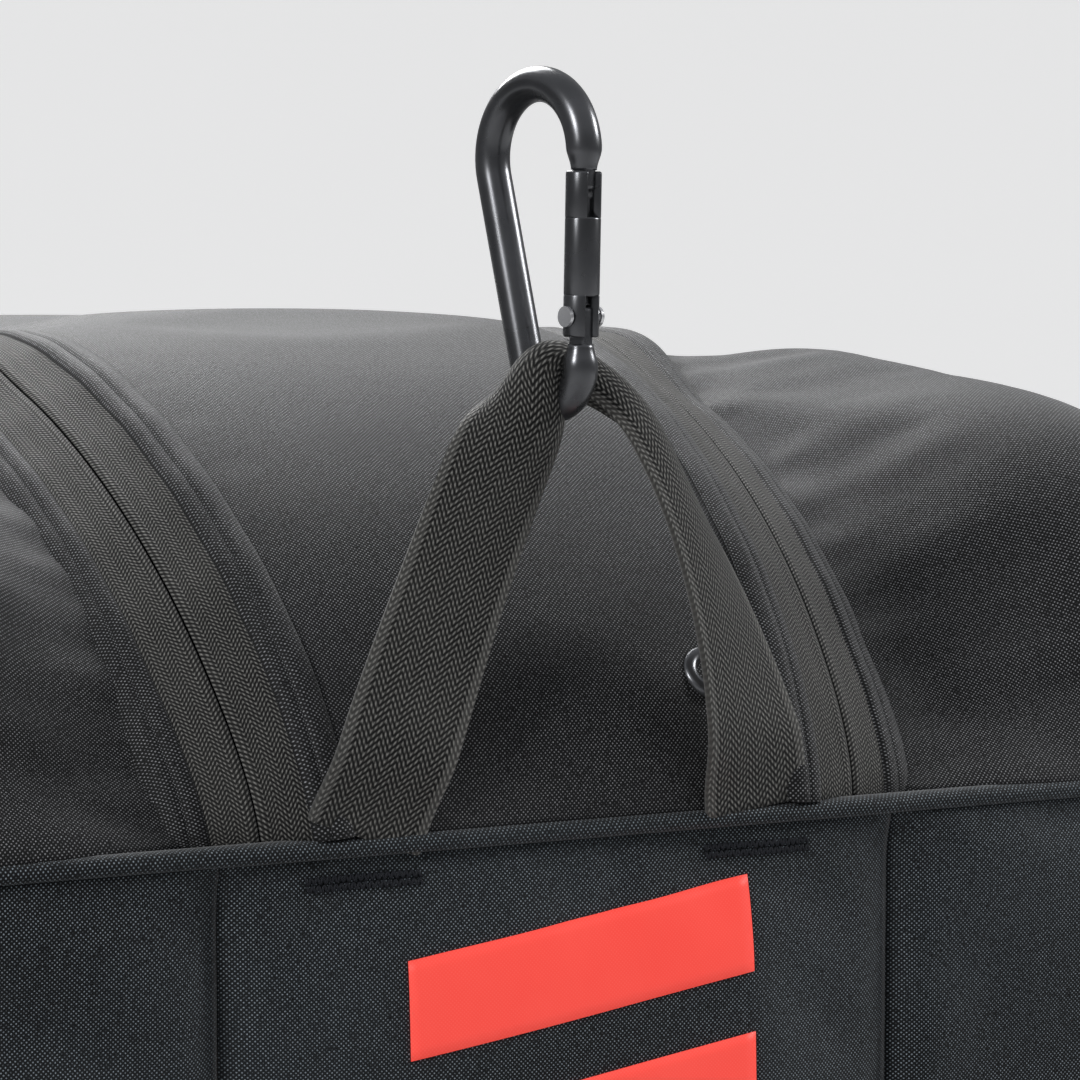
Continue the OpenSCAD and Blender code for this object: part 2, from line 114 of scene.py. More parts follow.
# ---- The bag's form: t runs from the end seam over the top to the far seam, a runs across ----

def profile(t):
    """Curve centre, share of the depth, share of the rise, and outward direction at t."""
    end = np.where(t < FULL_RUN / 2, -1, 1)
    run = np.where(t < FULL_RUN / 2, t, FULL_RUN - t)
    centre = end * (HALF_L - DEPTH - np.maximum(run - SHOULDER_RUN, 0))
    back = end * np.interp(run, CURVE_RUN, BACK)
    up = np.interp(run, CURVE_RUN, UP)
    return centre, back, up, end * np.interp(run, CURVE_RUN, LEAN_Y), np.interp(run, CURVE_RUN, LEAN_Z)


def section(a):
    """Point and outward direction of the half section, a measured along it from the middle."""
    flat = HALF_W - EDGE_R
    bend = np.clip((a - flat) / EDGE_R, 0, math.pi / 2)
    drop = np.clip(a - flat - math.pi / 2 * EDGE_R, 0, 1)
    x = np.minimum(a, flat) + EDGE_R * np.sin(bend)
    rho = RISE - EDGE_R + EDGE_R * np.cos(bend) - drop
    return x, rho, np.sin(bend), np.cos(bend)


def top_surface(t, a, lift):
    """Points of the upper half, raised by lift along the outward direction."""
    side = np.sign(a)
    x, rho, nx, nr = section(np.abs(a))
    centre, back, up, ny, nz = profile(t)
    x = side * (x + lift * nx)
    y = centre + (DEPTH - RISE + rho) * back + lift * nr * ny
    dip = np.sin(math.pi * np.clip((centre + DEPTH * back - DIP_FROM) / DIP_RUN, 0, 1)) ** 2
    z = SEAM_Z + rho * up + lift * nr * nz - DIP_DEEP * dip * nr
    return np.stack(np.broadcast_arrays(x, y, z), -1)


def outward(t, a):
    """Outward direction of the upper half."""
    nx, nr = section(np.abs(a))[2:]
    ny, nz = profile(t)[3:]
    return np.stack(np.broadcast_arrays(np.sign(a) * nx, nr * ny, nr * nz), -1)


def zip_half(t):
    """Half distance between the zips at t, before the far corners."""
    centre, back, up = profile(t)[:3]
    return ZIP_AT_FOLD + TAPER * ((centre + DEPTH * back - FOLD_Y) + (SEAM_Z + RISE * up - TOP))


def band_half(t, offset):
    """Half width at t of the outline that runs at offset outside the zip line."""
    r = CROSS_CORNER + offset
    corner = zip_half(np.minimum(t, T_CORNER))
    past = np.clip(t - T_CORNER, 0, r)
    return corner + offset - r + np.sqrt(np.maximum(r * r - past * past, 0))


def tilt(t):
    """Slope of the zip across its run: steep over the front shoulder, level where the sliders run."""
    return (0.30 + 0.17 * smooth(t / (50 * MM))) * (1 - smooth((t - SHOULDER_RUN + 50 * MM) / (70 * MM)))


def plan(s):
    """Point and outward direction of the bag's outline seen from above; s starts mid-front, to +X."""
    straight_x = HALF_W - PLAN_R
    straight_y = HALF_L - PLAN_R
    quarter = math.pi / 2 * PLAN_R
    b1 = np.clip((s - straight_x) / PLAN_R, 0, math.pi / 2)
    b2 = np.clip((s - straight_x - quarter - 2 * straight_y) / PLAN_R, 0, math.pi / 2)
    run_y = np.clip(s - straight_x - quarter, 0, 2 * straight_y)
    back = np.clip(s - straight_x - 2 * quarter - 2 * straight_y, 0, straight_x)
    x = np.clip(s, 0, straight_x) + PLAN_R * np.sin(b1) - PLAN_R * (1 - np.cos(b2)) - back
    y = -HALF_L + PLAN_R * (1 - np.cos(b1)) + run_y + PLAN_R * np.sin(b2)
    angle = b1 + b2
    return x, y, np.sin(angle), -np.cos(angle)


HALF_OUTLINE = 2 * (HALF_W - PLAN_R) + math.pi * PLAN_R + 2 * (HALF_L - PLAN_R)


def around(distance):
    """Point and outward direction on the whole outline, starting mid-front."""
    side = np.where(distance <= HALF_OUTLINE, 1, -1)
    x, y, nx, ny = plan(np.where(distance <= HALF_OUTLINE, distance, 2 * HALF_OUTLINE - distance))
    return np.stack([side * x, y], -1), np.stack([side * nx, ny], -1)


def wall_surface(side, s, z, lift):
    """Points of the lower wall on one side, raised by lift."""
    x, y, nx, ny = plan(s)
    return np.stack([side * (x + lift * nx), y + lift * ny, z + 0 * x], -1)


# ---- Small numeric tools ----

def lattice(rows, cols):
    """Row and column value at every point of a grid."""
    return np.meshgrid(rows, cols, indexing="ij")


def smooth(t):
    """0 below 0, 1 above 1 and an even S between."""
    t = np.clip(t, 0, 1)
    return t * t * (3 - 2 * t)


def waves(seed, p, q, low, high):
    """Smooth repeatable ripple over p and q with wavelengths between low and high, about -1 to 1."""
    rng = np.random.default_rng(RNG_SEED + seed)
    total = 0 * p
    for _ in range(RIPPLES):
        angle = rng.uniform(0, math.pi)
        k = 2 * math.pi / rng.uniform(low, high)
        total = total + np.sin(k * (p * math.cos(angle) + q * math.sin(angle)) + rng.uniform(0, 6.283))
    return total / math.sqrt(RIPPLES)


def grid_object(name, points, u, v, flip=False, wrap=False, closed=False):
    """Mesh object from a (rows, columns, 3) array of points. u and v are metres of cloth, with one
    more column where the grid wraps and one more row where it closes."""
    rows, cols = points.shape[:2]
    i, j = lattice(np.arange(rows - (not closed)), np.arange(cols - (not wrap)))
    corners = [(i, j), (i, j + 1), (i + 1, j + 1), (i + 1, j)]
    if flip:
        corners = corners[::-1]
    faces = np.stack([(p % rows) * cols + q % cols for p, q in corners], -1).reshape(-1, 4)
    u, v = np.broadcast_arrays(u, v)
    uv = np.stack([np.stack([u[p, q], v[p, q]], -1) for p, q in corners], 2).reshape(-1, 2)
    return mesh_object(name, points.reshape(-1, 3), faces, uv)


def mesh_object(name, points, faces, uv=None):
    """Smooth-shaded object from points, faces and, corner by corner, cloth coordinates."""
    mesh = bpy.data.meshes.new(name)
    mesh.from_pydata(points.tolist(), [], [list(map(int, f)) for f in faces])
    layer = mesh.uv_layers.new(name="cloth")
    if uv is not None:
        layer.data.foreach_set("uv", uv.astype(np.float32).ravel())
    mesh.polygons.foreach_set("use_smooth", [True] * len(mesh.polygons))
    obj = bpy.data.objects.new(name, mesh)
    bpy.context.scene.collection.objects.link(obj)
    return obj


def join(name, parts):
    """One object out of several, which keep their faces and cloth coordinates."""
    with bpy.context.temp_override(active_object=parts[0], selected_editable_objects=parts):
        bpy.ops.object.join()
    parts[0].name = name
    return parts[0]


def unit(v):
    return v / np.maximum(np.linalg.norm(v, axis=-1, keepdims=True), 1e-9)


def run_length(path):
    """Distance from the start of a path to each of its points."""
    return total_run(np.linalg.norm(np.diff(path, axis=0), axis=1))


def surface_tree(obj):
    return BVHTree.FromObject(obj, bpy.context.evaluated_depsgraph_get())


def drape(tree, points, out, above):
    """Points laid on a surface: each is moved along out to stand above it."""
    flat = points.reshape(-1, 3)
    outs = np.broadcast_to(out, points.shape).reshape(-1, 3)
    reach = 45 * MM
    laid = []
    for p, o in zip(flat, outs):
        hit = tree.ray_cast(Vector(p + o * reach), Vector(-o), 2 * reach)[0]
        laid.append(np.array(hit) + o * above if hit is not None else p)
    return np.array(laid).reshape(points.shape)


def get_points(mesh):
    co = np.zeros(len(mesh.vertices) * 3)
    mesh.vertices.foreach_get("co", co)
    return co.reshape(-1, 3)


def set_points(mesh, co):
    mesh.vertices.foreach_set("co", co.astype(np.float32).ravel())
    mesh.update()


def finish_cloth(obj, material, levels=1, thickness=1.2 * MM, offset=-1):
    """Smooth, thicken and colour a sheet; an offset of -1 keeps its thickness inside the outer face."""
    obj.data.materials.append(material)
    if levels:
        sub = obj.modifiers.new("smooth", "SUBSURF")
        sub.levels = sub.render_levels = levels
    if thickness:
        solid = obj.modifiers.new("thickness", "SOLIDIFY")
        solid.thickness = thickness
        solid.offset = offset
        solid.use_even_offset = False
    return obj


# ---- Cloth simulation ----

CLOTH_FRAMES = 18
CLOTH = {
    "vertex_group_mass": "sewn", "quality": 6, "mass": 0.15, "air_damping": 2, "use_pressure": True,
    "tension_stiffness": 12, "compression_stiffness": 12, "shear_stiffness": 6, "bending_stiffness": 0.6,
}
cloth_jobs = []


def add_cloth(obj, shape, pressure, cap, slack, rim=1):
    """Registers a sheet to be filled out by pressure, by cap at most; its outer rows are sewn down."""
    pin = np.ones(shape)
    pin[rim:-rim, rim:-rim] = 0
    cloth_jobs.append((obj, pin.ravel(), pressure, cap, slack))


def prepare_cloth(obj, pin, pressure, slack):
    """Gives a sheet its cloth settings and holds it where it is sewn."""
    group = obj.vertex_groups.new(name="sewn")
    for i, w in enumerate(pin):
        if w > 0:
            group.add([i], float(w), "REPLACE")
    mod = obj.modifiers.new("cloth", "CLOTH")
    for key, value in CLOTH.items():
        setattr(mod.settings, key, value)
    mod.settings.shrink_min = -slack
    mod.settings.uniform_pressure_force = pressure
    mod.settings.effector_weights.gravity = 0
    mod.point_cache.frame_start = 1
    mod.point_cache.frame_end = CLOTH_FRAMES


def apply_cloth(obj, graph, cap):
    """Writes the simulated shape into the mesh, with no point moved further than cap."""
    rest = get_points(obj.data)
    moved = get_points(obj.evaluated_get(graph).data) - rest
    size = np.linalg.norm(moved, axis=1, keepdims=True)
    moved = moved * np.minimum(1, cap / np.maximum(size, 1e-9))
    moved[~np.isfinite(moved)] = 0
    obj.modifiers.clear()
    obj.vertex_groups.clear()
    set_points(obj.data, rest + moved)


def run_cloth():
    """Simulates every registered sheet at once and writes the results into the meshes."""
    scene = bpy.context.scene
    scene.frame_start = 1
    scene.frame_end = CLOTH_FRAMES
    gravity = scene.use_gravity
    scene.use_gravity = False
    for obj, pin, pressure, cap, slack in cloth_jobs:
        prepare_cloth(obj, pin, pressure, slack)
    for f in range(1, CLOTH_FRAMES + 1):
        scene.frame_set(f)
    graph = bpy.context.evaluated_depsgraph_get()
    for obj, pin, pressure, cap, slack in cloth_jobs:
        apply_cloth(obj, graph, cap)
    scene.frame_set(1)
    scene.use_gravity = gravity


# ---- Materials ----

class Nodes:
    """A short way to write node trees."""

    def __init__(self, name):
        self.material = bpy.data.materials.new(name)
        self.material.use_nodes = True
        self.tree = self.material.node_tree
        self.bsdf = self.tree.nodes["Principled BSDF"]

    def put(self, socket, value):
        if isinstance(value, bpy.types.NodeSocket):
            self.tree.links.new(value, socket)
        else:
            socket.default_value = value

    def math(self, op, a, b=0.0, c=0.0):
        node = self.tree.nodes.new("ShaderNodeMath")
        node.operation = op
        for socket, value in zip(node.inputs, (a, b, c)):
            self.put(socket, value)
        return node.outputs[0]

    def cloth_uv(self):
        """The cloth coordinates u and v in metres."""
        node = self.tree.nodes.new("ShaderNodeUVMap")
        node.uv_map = "cloth"
        split = self.tree.nodes.new("ShaderNodeSeparateXYZ")
        self.tree.links.new(node.outputs[0], split.inputs[0])
        return split.outputs[0], split.outputs[1]

    def noise(self, scale, detail):
        node = self.tree.nodes.new("ShaderNodeTexNoise")
        node.inputs["Scale"].default_value = scale
        node.inputs["Detail"].default_value = detail
        place = self.tree.nodes.new("ShaderNodeTexCoord").outputs["Object"]
        self.tree.links.new(place, node.inputs["Vector"])
        return node.outputs["Fac"]

    def ramp(self, fac, dark, light, low=0.0, high=1.0):
        node = self.tree.nodes.new("ShaderNodeMapRange")
        self.put(node.inputs["Value"], fac)
        node.inputs["From Min"].default_value = low
        node.inputs["From Max"].default_value = high
        mix = self.tree.nodes.new("ShaderNodeMix")
        mix.data_type = "RGBA"
        self.tree.links.new(node.outputs[0], mix.inputs["Factor"])
        mix.inputs[6].default_value = (*dark, 1)
        mix.inputs[7].default_value = (*light, 1)
        return mix.outputs[2]

    def bump(self, height, strength, distance):
        node = self.tree.nodes.new("ShaderNodeBump")
        node.inputs["Strength"].default_value = strength
        node.inputs["Distance"].default_value = distance
        self.tree.links.new(height, node.inputs["Height"])
        self.tree.links.new(node.outputs[0], self.bsdf.inputs["Normal"])

    def surface(self, **values):
        for key, value in values.items():
            self.put(self.bsdf.inputs[key.replace("_", " ")], value)
        return self.material


def wave01(n, coordinate, pitch, shift=0.0):
    """0 to 1 sine along a coordinate in metres."""
    turned = n.math("MULTIPLY_ADD", coordinate, 2 * math.pi / pitch, shift)
    return n.math("MULTIPLY_ADD", n.math("SINE", turned), 0.5, 0.5)


def weave_fabric(name, dark, light, pitch, sheen=0.25, rough=0.66):
    """Plain woven cloth: bright yarn crossings in a slanted grid on a near black ground; the random bright
    flecks on the crossings are painted glints.
    """
    n = Nodes(name)
    u, v = n.cloth_uv()
    wobble = n.noise(90, 2)
    u = n.math("MULTIPLY_ADD", wobble, 0.25 * MM, u)
    along = wave01(n, n.math("ADD", u, v), pitch * 1.41)
    across = wave01(n, n.math("SUBTRACT", u, v), pitch * 1.41)
    height = n.math("MULTIPLY", along, across)
    broad = n.noise(14, 4)
    # painted glint: random flecks brighten some yarn crossings as if those yarns caught the light
    fleck = n.noise(1500, 2)
    glint_gain = n.math("MULTIPLY_ADD", fleck, 4.4, -1.2)
    tone = n.math("MULTIPLY", n.math("POWER", height, 2.8), glint_gain)
    tone = n.math("ADD", tone, n.math("MULTIPLY_ADD", broad, 0.10, -0.045))
    colour = n.ramp(tone, dark, light, 0.0, 0.95)
    n.bump(height, 0.6, 0.14 * MM)
    return n.surface(Base_Color=colour, Roughness=rough, Sheen_Weight=sheen, Sheen_Roughness=0.45,
                     Specular_IOR_Level=0.3)


def herringbone(name, dark, light, column, rib, edge=None):
    """Slanted yarns that turn back at every column, as on webbing and zip tape; edge is the half
    width at which a paler selvedge starts."""
    n = Nodes(name)
    u, v = n.cloth_uv()
    fold = n.math("PINGPONG", u, column)
    slant = n.math("MULTIPLY_ADD", fold, 1.3, v)
    ribs = wave01(n, slant, rib)
    yarn = wave01(n, u, column / 3, 1.2)
    height = n.math("MULTIPLY", ribs, n.math("MULTIPLY_ADD", yarn, 0.7, 0.3))
    fleck = n.noise(2200, 1)
    tone = n.math("MULTIPLY", n.math("POWER", height, 1.8), n.math("MULTIPLY_ADD", fleck, 1.7, 0.3))
    tone = n.math("ADD", tone, n.math("MULTIPLY_ADD", n.noise(40, 3), 0.12, -0.05))
    if edge:
        past = n.math("GREATER_THAN", n.math("ABSOLUTE", u), edge)
        tone = n.math("MULTIPLY_ADD", past, 0.18, tone)
    colour = n.ramp(tone, dark, light, 0.0, 1.0)
    n.bump(height, 0.8, 0.3 * MM)
    return n.surface(Base_Color=colour, Roughness=0.7, Sheen_Weight=0.2, Sheen_Roughness=0.5,
                     Specular_IOR_Level=0.25)


def shades(colour, low, high):
    """A darker and a lighter version of a colour."""
    return [tuple(c * share for c in colour) for share in (low, high)]


def satin_metal(name, colour, rough, metallic, coat):
    """Smudged metal under a thin clear coat."""
    n = Nodes(name)
    smudge = n.noise(60, 4)
    grain = n.noise(1800, 2)
    roughness = n.math("MULTIPLY_ADD", smudge, 0.18, rough - 0.06)
    tone = n.ramp(smudge, *shades(colour, 0.8, 1.25), 0.3, 0.7)
    n.bump(grain, 0.12, 0.03 * MM)
    return n.surface(Base_Color=tone, Roughness=roughness, Metallic=metallic, Coat_Weight=coat,
                     Coat_Roughness=0.25)


def moulded(name, colour, rough):
    """Plain moulded plastic or thread with a fine grain."""
    n = Nodes(name)
    grain = n.noise(900, 3)
    tone = n.ramp(n.noise(30, 3), *shades(colour, 0.8, 1.2), 0.3, 0.7)
    n.bump(grain, 0.2, 0.06 * MM)
    return n.surface(Base_Color=tone, Roughness=rough)


PRINT_PAINTED_GLOW = 0.55  # painted light: the red print glows so that it reads brighter than the lamps alone make it


def print_film(name):
    """Flat red print through which the weave still shows a little; it also glows a little, which is
    painted light.
    """
    n = Nodes(name)
    u, v = n.cloth_uv()
    grid = n.math("MULTIPLY", wave01(n, n.math("ADD", u, v), 0.9 * MM),
                  wave01(n, n.math("SUBTRACT", u, v), 0.9 * MM))
    tone = n.ramp(n.math("ADD", grid, n.noise(40, 3)), (0.93, 0.060, 0.045), (1.0, 0.10, 0.075), 0.2, 1.3)
    n.bump(grid, 0.15, 0.08 * MM)
    # the emission is painted light that brightens the red print
    return n.surface(Base_Color=tone, Roughness=0.5, Emission_Color=tone, Emission_Strength=PRINT_PAINTED_GLOW)


FABRIC = weave_fabric("bag_fabric", (0.0006, 0.0007, 0.0010), (0.46, 0.465, 0.485), 0.75 * MM)
LOWER_FABRIC = weave_fabric("lower_fabric", (0.0008, 0.0016, 0.0024), (0.43, 0.50, 0.56), 0.75 * MM)
BASE_FABRIC = weave_fabric("base_fabric", (0.004, 0.004, 0.005), (0.03, 0.03, 0.032), 1.6 * MM, 0.1, 0.5)
WEBBING = herringbone("webbing", (0.0012, 0.0012, 0.0012), (0.36, 0.353, 0.33), 2.7 * MM, 1.7 * MM,
                      edge=11.8 * MM)
HANDLE_WEB = herringbone("handle_web", (0.0014, 0.0014, 0.0014), (0.200, 0.196, 0.185), 3.6 * MM, 1.9 * MM)
TAPE_CLOTH = herringbone("zip_tape", (0.0020, 0.0020, 0.0019), (0.37, 0.362, 0.338), 2.3 * MM, 1.3 * MM)
THREAD = moulded("thread", (0.010, 0.012, 0.018), 0.7)
STITCH = moulded("stitch", (0.030, 0.031, 0.033), 0.65)
GRIP = weave_fabric("grip_fabric", (0.003, 0.003, 0.003), (0.05, 0.05, 0.052), 1.9 * MM, 0.4, 0.8)
BLACK_METAL = satin_metal("black_metal", (0.14, 0.143, 0.152), 0.25, 0.9, 0.5)
STEEL = satin_metal("steel", (0.90, 0.90, 0.92), 0.22, 0.8, 0.3)
COIL = moulded("coil", (0.012, 0.012, 0.013), 0.4)
PULL = moulded("pull_plastic", (0.012, 0.012, 0.013), 0.5)
PIPING = moulded("piping", (0.007, 0.007, 0.008), 0.45)
BOARD = moulded("board", (0.35, 0.31, 0.24), 0.8)
PRINT = print_film("print_film")


# ---- Fabric panels ----

ROW = 6 * MM


def leave(distance, soon):
    """0 at a seam and close to 1 a few times soon away from it."""
    return 1 - np.exp(-distance / soon)


def steps(length, step=ROW):
    """Count of evenly spaced rows, about one step apart."""
    return max(4, int(round(length / step)) + 1)


PUFF = 4 * MM  # how far the stuffed upper sides stand above the seams
SLUMP = 14 * MM  # how far they sag beside the zips
SWELL = 37 * MM  # how far the front shoulders swell between zip and side


def side_upper(side):
    """Puffed upper side from the zip's outer edge to the welt."""
    rows = np.concatenate([np.linspace(0, SHOULDER_RUN, steps(SHOULDER_RUN, 4 * MM))[:-1],
                           np.linspace(SHOULDER_RUN, FULL_RUN, steps(FULL_RUN - SHOULDER_RUN))])
    cols = steps(SECTION_RUN - ZIP_AT_FOLD, 5.5 * MM)
    t, f = lattice(rows, np.linspace(0, 1, cols))
    inner = band_half(t, TAPE)
    inner = np.where(t > T_CORNER, np.maximum(inner, YOKE_HALF), inner)
    a = inner + (SECTION_RUN - inner) * f
    near = a - inner
    from_zip = leave(near, 9 * MM)
    from_front = leave(t, 12 * MM)
    from_back = leave(FULL_RUN - t, 14 * MM)
    from_welt = leave(SECTION_RUN - a, 16 * MM)
    slump = -SLUMP * smooth((FULL_RUN - t) / (250 * MM)) * np.exp(-near / (200 * MM))
    swell = np.sin(math.pi * np.clip(t / SHOULDER_RUN, 0, 1) ** 0.75) ** 2
    corner = SWELL * swell * smooth((near - 10 * MM) / (90 * MM)) * from_welt * section(a)[3] ** 2
    puff = (PUFF + slump) * from_zip * from_front * from_back * from_welt + corner
    tuck = -2 * TAPE * tilt(t) * np.exp(-((near / (20 * MM)) ** 1.5))
    tuck = tuck - 3.5 * MM * (1 - smooth(near / (7 * MM)))
    ease = smooth(near / (6 * MM)) * from_front * from_welt * from_back
    gather = np.exp(-near / (26 * MM)) * waves(3, t, 0.25 * a, 14 * MM, 40 * MM) * 0.55 * MM
    rolling = waves(5, t, a, 90 * MM, 220 * MM) * 1.3 * MM
    lift = puff + tuck + ease * (gather + rolling)
    points = top_surface(t, side * a, lift)
    obj = grid_object(f"side_upper_{SIDE_NAME[side]}_cloth", points, a, t, flip=side > 0)
    add_cloth(obj, t.shape, 0.5, 5 * MM, slack=0.010)
    return obj


CROWN = 5 * MM  # height of the middle band's curve over the front shoulder


def band():
    """The crowned middle band: fixed over the shoulder, then the lid."""
    end = T_CROSS - TAPE
    tail = CROSS_CORNER - TAPE
    rows = np.concatenate([np.linspace(0, end - tail, steps(end - tail, 5 * MM))[:-1],
                           end - tail * (1 - np.sin(np.linspace(0, math.pi / 2, 12)))])
    t, f = lattice(rows, np.linspace(-1, 1, 41))
    half = band_half(t, -TAPE)
    a = half * f
    edge = half - np.abs(a)
    crown = CROWN * (1 - f * f) * smooth(t / (30 * MM)) * (1 - smooth((t - SHOULDER_RUN) / (200 * MM)))
    lip = 0.9 * MM - 1.6 * MM * (1 - smooth(edge / (6.0 * MM)))
    ripple = waves(11, t, a, 60 * MM, 160 * MM) * 0.7 * MM
    ripple = ripple * smooth(edge / (20 * MM)) * smooth(t / (25 * MM))
    points = top_surface(t, a, crown + lip + ripple)
    obj = grid_object("band_cloth", points, a, t)
    add_cloth(obj, t.shape, 0.25, 3 * MM, slack=0.004, rim=2)
    return obj


def yoke():
    """Panel behind the cross zip, down to the far seam."""
    rows = steps(FULL_RUN - T_CROSS - TAPE)
    f, a = lattice(np.linspace(0, 1, rows), np.linspace(-YOKE_HALF, YOKE_HALF, 41))
    r = CROSS_CORNER + TAPE
    corner_x = zip_half(np.array(T_CORNER)) - CROSS_CORNER
    over = np.clip(np.abs(a) - corner_x, 0, r)
    start = T_CORNER + np.sqrt(r * r - over * over)
    t = start + (FULL_RUN - start) * f
    edge = np.minimum(np.minimum(t - start, FULL_RUN - t), YOKE_HALF - np.abs(a))
    lift = 3 * MM * leave(edge, 16 * MM) - 2 * MM * (1 - smooth(edge / (4 * MM)))
    lift = lift + waves(17, t, a, 50 * MM, 140 * MM) * 1.2 * MM * smooth(edge / (20 * MM))
    obj = grid_object("rear_yoke_cloth", top_surface(t, a, lift), a, t)
    add_cloth(obj, t.shape, 0.3, 2 * MM, slack=0.006)
    return obj


WALL_TOP = SEAM_Z - 1.5 * MM


def wall_lift(z, edge, depth, tuck, seed, s):
    """Outward bulge of a lower wall: held in at the welt, the base and the sewn sides."""
    height = WALL_TOP - BASE_Z
    up = (z - BASE_Z) / height
    bulge = depth * (1 - (2 * up - 1) ** 4) * leave(edge, 18 * MM)
    sag = 0.35 * depth * np.sin(math.pi * np.clip(1 - up, 0, 1)) * smooth(edge / (60 * MM))
    groove = -tuck * (1 - smooth(edge / (7 * MM)))
    hold = smooth((WALL_TOP - z) / (8 * MM)) * smooth((z - BASE_Z) / (10 * MM))
    folds = waves(seed, s, z * 0.6, 60 * MM, 200 * MM) * 1.4 * MM * smooth(edge / (30 * MM)) * hold
    return bulge + sag + folds + groove * hold


def side_lower(side):
    """Lower side wall between the two end panels."""
    span = HALF_OUTLINE - 2 * END_HALF
    front = 150 * MM
    s_line = np.concatenate([np.linspace(0, front, steps(front, 4 * MM))[:-1],
                             np.linspace(front, span, steps(span - front, 9 * MM))]) + END_HALF
    z_line = np.linspace(BASE_Z, WALL_TOP, steps(WALL_TOP - BASE_Z, 6.5 * MM))
    z, s = lattice(z_line, s_line)
    edge = np.minimum(s - END_HALF, HALF_OUTLINE - END_HALF - s)
    lift = wall_lift(z, edge, 4.5 * MM, 4 * MM, 23 if side > 0 else 29, s)
    obj = grid_object(f"side_lower_{SIDE_NAME[side]}_cloth", wall_surface(side, s, z, lift),
                      s, z, flip=side < 0)
    add_cloth(obj, z.shape, 0.5, 3 * MM, slack=0.006)
    return obj


def end_panel(far):
    """Lower middle panel of one end."""
    x_line = np.linspace(-END_HALF, END_HALF, steps(2 * END_HALF, 4 * MM))
    z_line = np.linspace(BASE_Z, WALL_TOP, steps(WALL_TOP - BASE_Z, 5 * MM))
    z, x = lattice(z_line, x_line)
    edge = END_HALF - np.abs(x)
    lift = wall_lift(z, edge, 4 * MM, 3.5 * MM, 37 + far, x)
    y = (HALF_L + lift) * (1 if far else -1)
    obj = grid_object("end_panel_" + ("rear" if far else "front") + "_cloth",
                      np.stack([x, y, z], -1), x, z, flip=bool(far))
    add_cloth(obj, z.shape, 0.25, 3 * MM, slack=0.004)
    return obj


def base_sheet():
    """Underside with rounded corners and a turned-up rim."""
    rings = np.array([0.0, 0.25, 0.5, 0.75, 0.94, 0.985, 1.0])
    s = np.linspace(0, 2 * HALF_OUTLINE, 181)[:-1]
    x, y = around(s)[0].T
    inset = 1.5 * MM
    points = np.stack([np.stack([x * r * (1 - inset / HALF_W), y * r * (1 - inset / HALF_L),
                                 0 * x + (2.6 * MM if r == 1.0 else 0.3 * MM)], -1) for r in rings])
    v = np.concatenate([s, [2 * HALF_OUTLINE]])
    return grid_object("base_cloth", points, rings[:, None] * HALF_W, v[None, :], flip=True, wrap=True)


# ---- Zip tapes ----

def zip_path():
    """(t, a) points of the zip line from the left end seam round the far end to the right one."""
    t_run = np.linspace(0, T_CORNER, steps(T_CORNER, 4 * MM))
    corner_a = float(zip_half(np.array(T_CORNER)))
    turn = np.linspace(0, math.pi / 2, 14)[1:]
    t_arc = T_CORNER + CROSS_CORNER * np.sin(turn)
    a_arc = corner_a - CROSS_CORNER * (1 - np.cos(turn))
    half_cross = np.linspace(corner_a - CROSS_CORNER, 0, steps(corner_a - CROSS_CORNER, 6 * MM))[1:]
    t = np.concatenate([t_run, t_arc, half_cross * 0 + T_CROSS])
    a = np.concatenate([zip_half(t_run), a_arc, half_cross])
    return np.concatenate([t, t[-2::-1]]), np.concatenate([-a, a[-2::-1]])


def offset_path(t, a, d):
    """The zip line moved outwards by d."""
    dt, da = np.gradient(t), np.gradient(a)
    size = np.hypot(dt, da)
    return t + d * da / size, a - d * dt / size


def tape_lift(d, t):
    """Height of the tape across the zip: it tips outwards and its two edges turn up at the slit."""
    fold = 0.45 * MM * np.exp(-((np.abs(d) - 1.4 * MM) / (1.1 * MM)) ** 2)
    valley = -0.5 * MM * np.exp(-((d / (0.9 * MM)) ** 2))
    return 0.5 * MM - (d + TAPE) * tilt(t) + fold + valley


ZIP_T, ZIP_A = zip_path()
ZIP_RUN = total_run(np.hypot(np.diff(ZIP_T), np.diff(ZIP_A)))


def zip_strip(name, offsets, lifts, flip=False):
    """Strip along the whole zip line, with a list of offsets and a height above the tape for each."""
    columns = []
    for d, rise in zip(offsets, lifts):
        t, a = offset_path(ZIP_T, ZIP_A, d)
        t = np.maximum(t, 0.2 * MM)
        pull = 0.15 * MM * np.sin(ZIP_RUN * 2 * math.pi / (31 * MM)) * smooth(abs(d) / (10 * MM))
        columns.append(top_surface(t, a, tape_lift(d, t) + rise + pull))
    return grid_object(name, np.stack(columns, 1), np.array(offsets)[None, :], ZIP_RUN[:, None], flip=flip)


def zip_tape(name, d0, d1):
    """Woven tape between two offsets from the zip line."""
    offsets = np.linspace(d0, d1, 16)
    return zip_strip(name, offsets, 0 * offsets)


GROOVE = 2.4 * MM  # from a tape's edge to the stitch groove beside it


def zip_lip(name, side):
    """Folded fabric edge over a tape: a rounded roll, a stitch groove and a flat hem."""
    reach = np.array([-1.2, -1.0, -0.5, 0.2, 1.0, 1.8, 2.4, 3.0, 3.8, 4.6, 5.4, 6.6, 7.8]) * MM
    height = np.array([0.1, 0.7, 1.2, 1.4, 1.4, 1.2, 0.7, 1.1, 1.2, 1.0, 0.6, 0.0, -1.2]) * MM
    return zip_strip(name, side * (TAPE + reach), height, flip=side < 0)


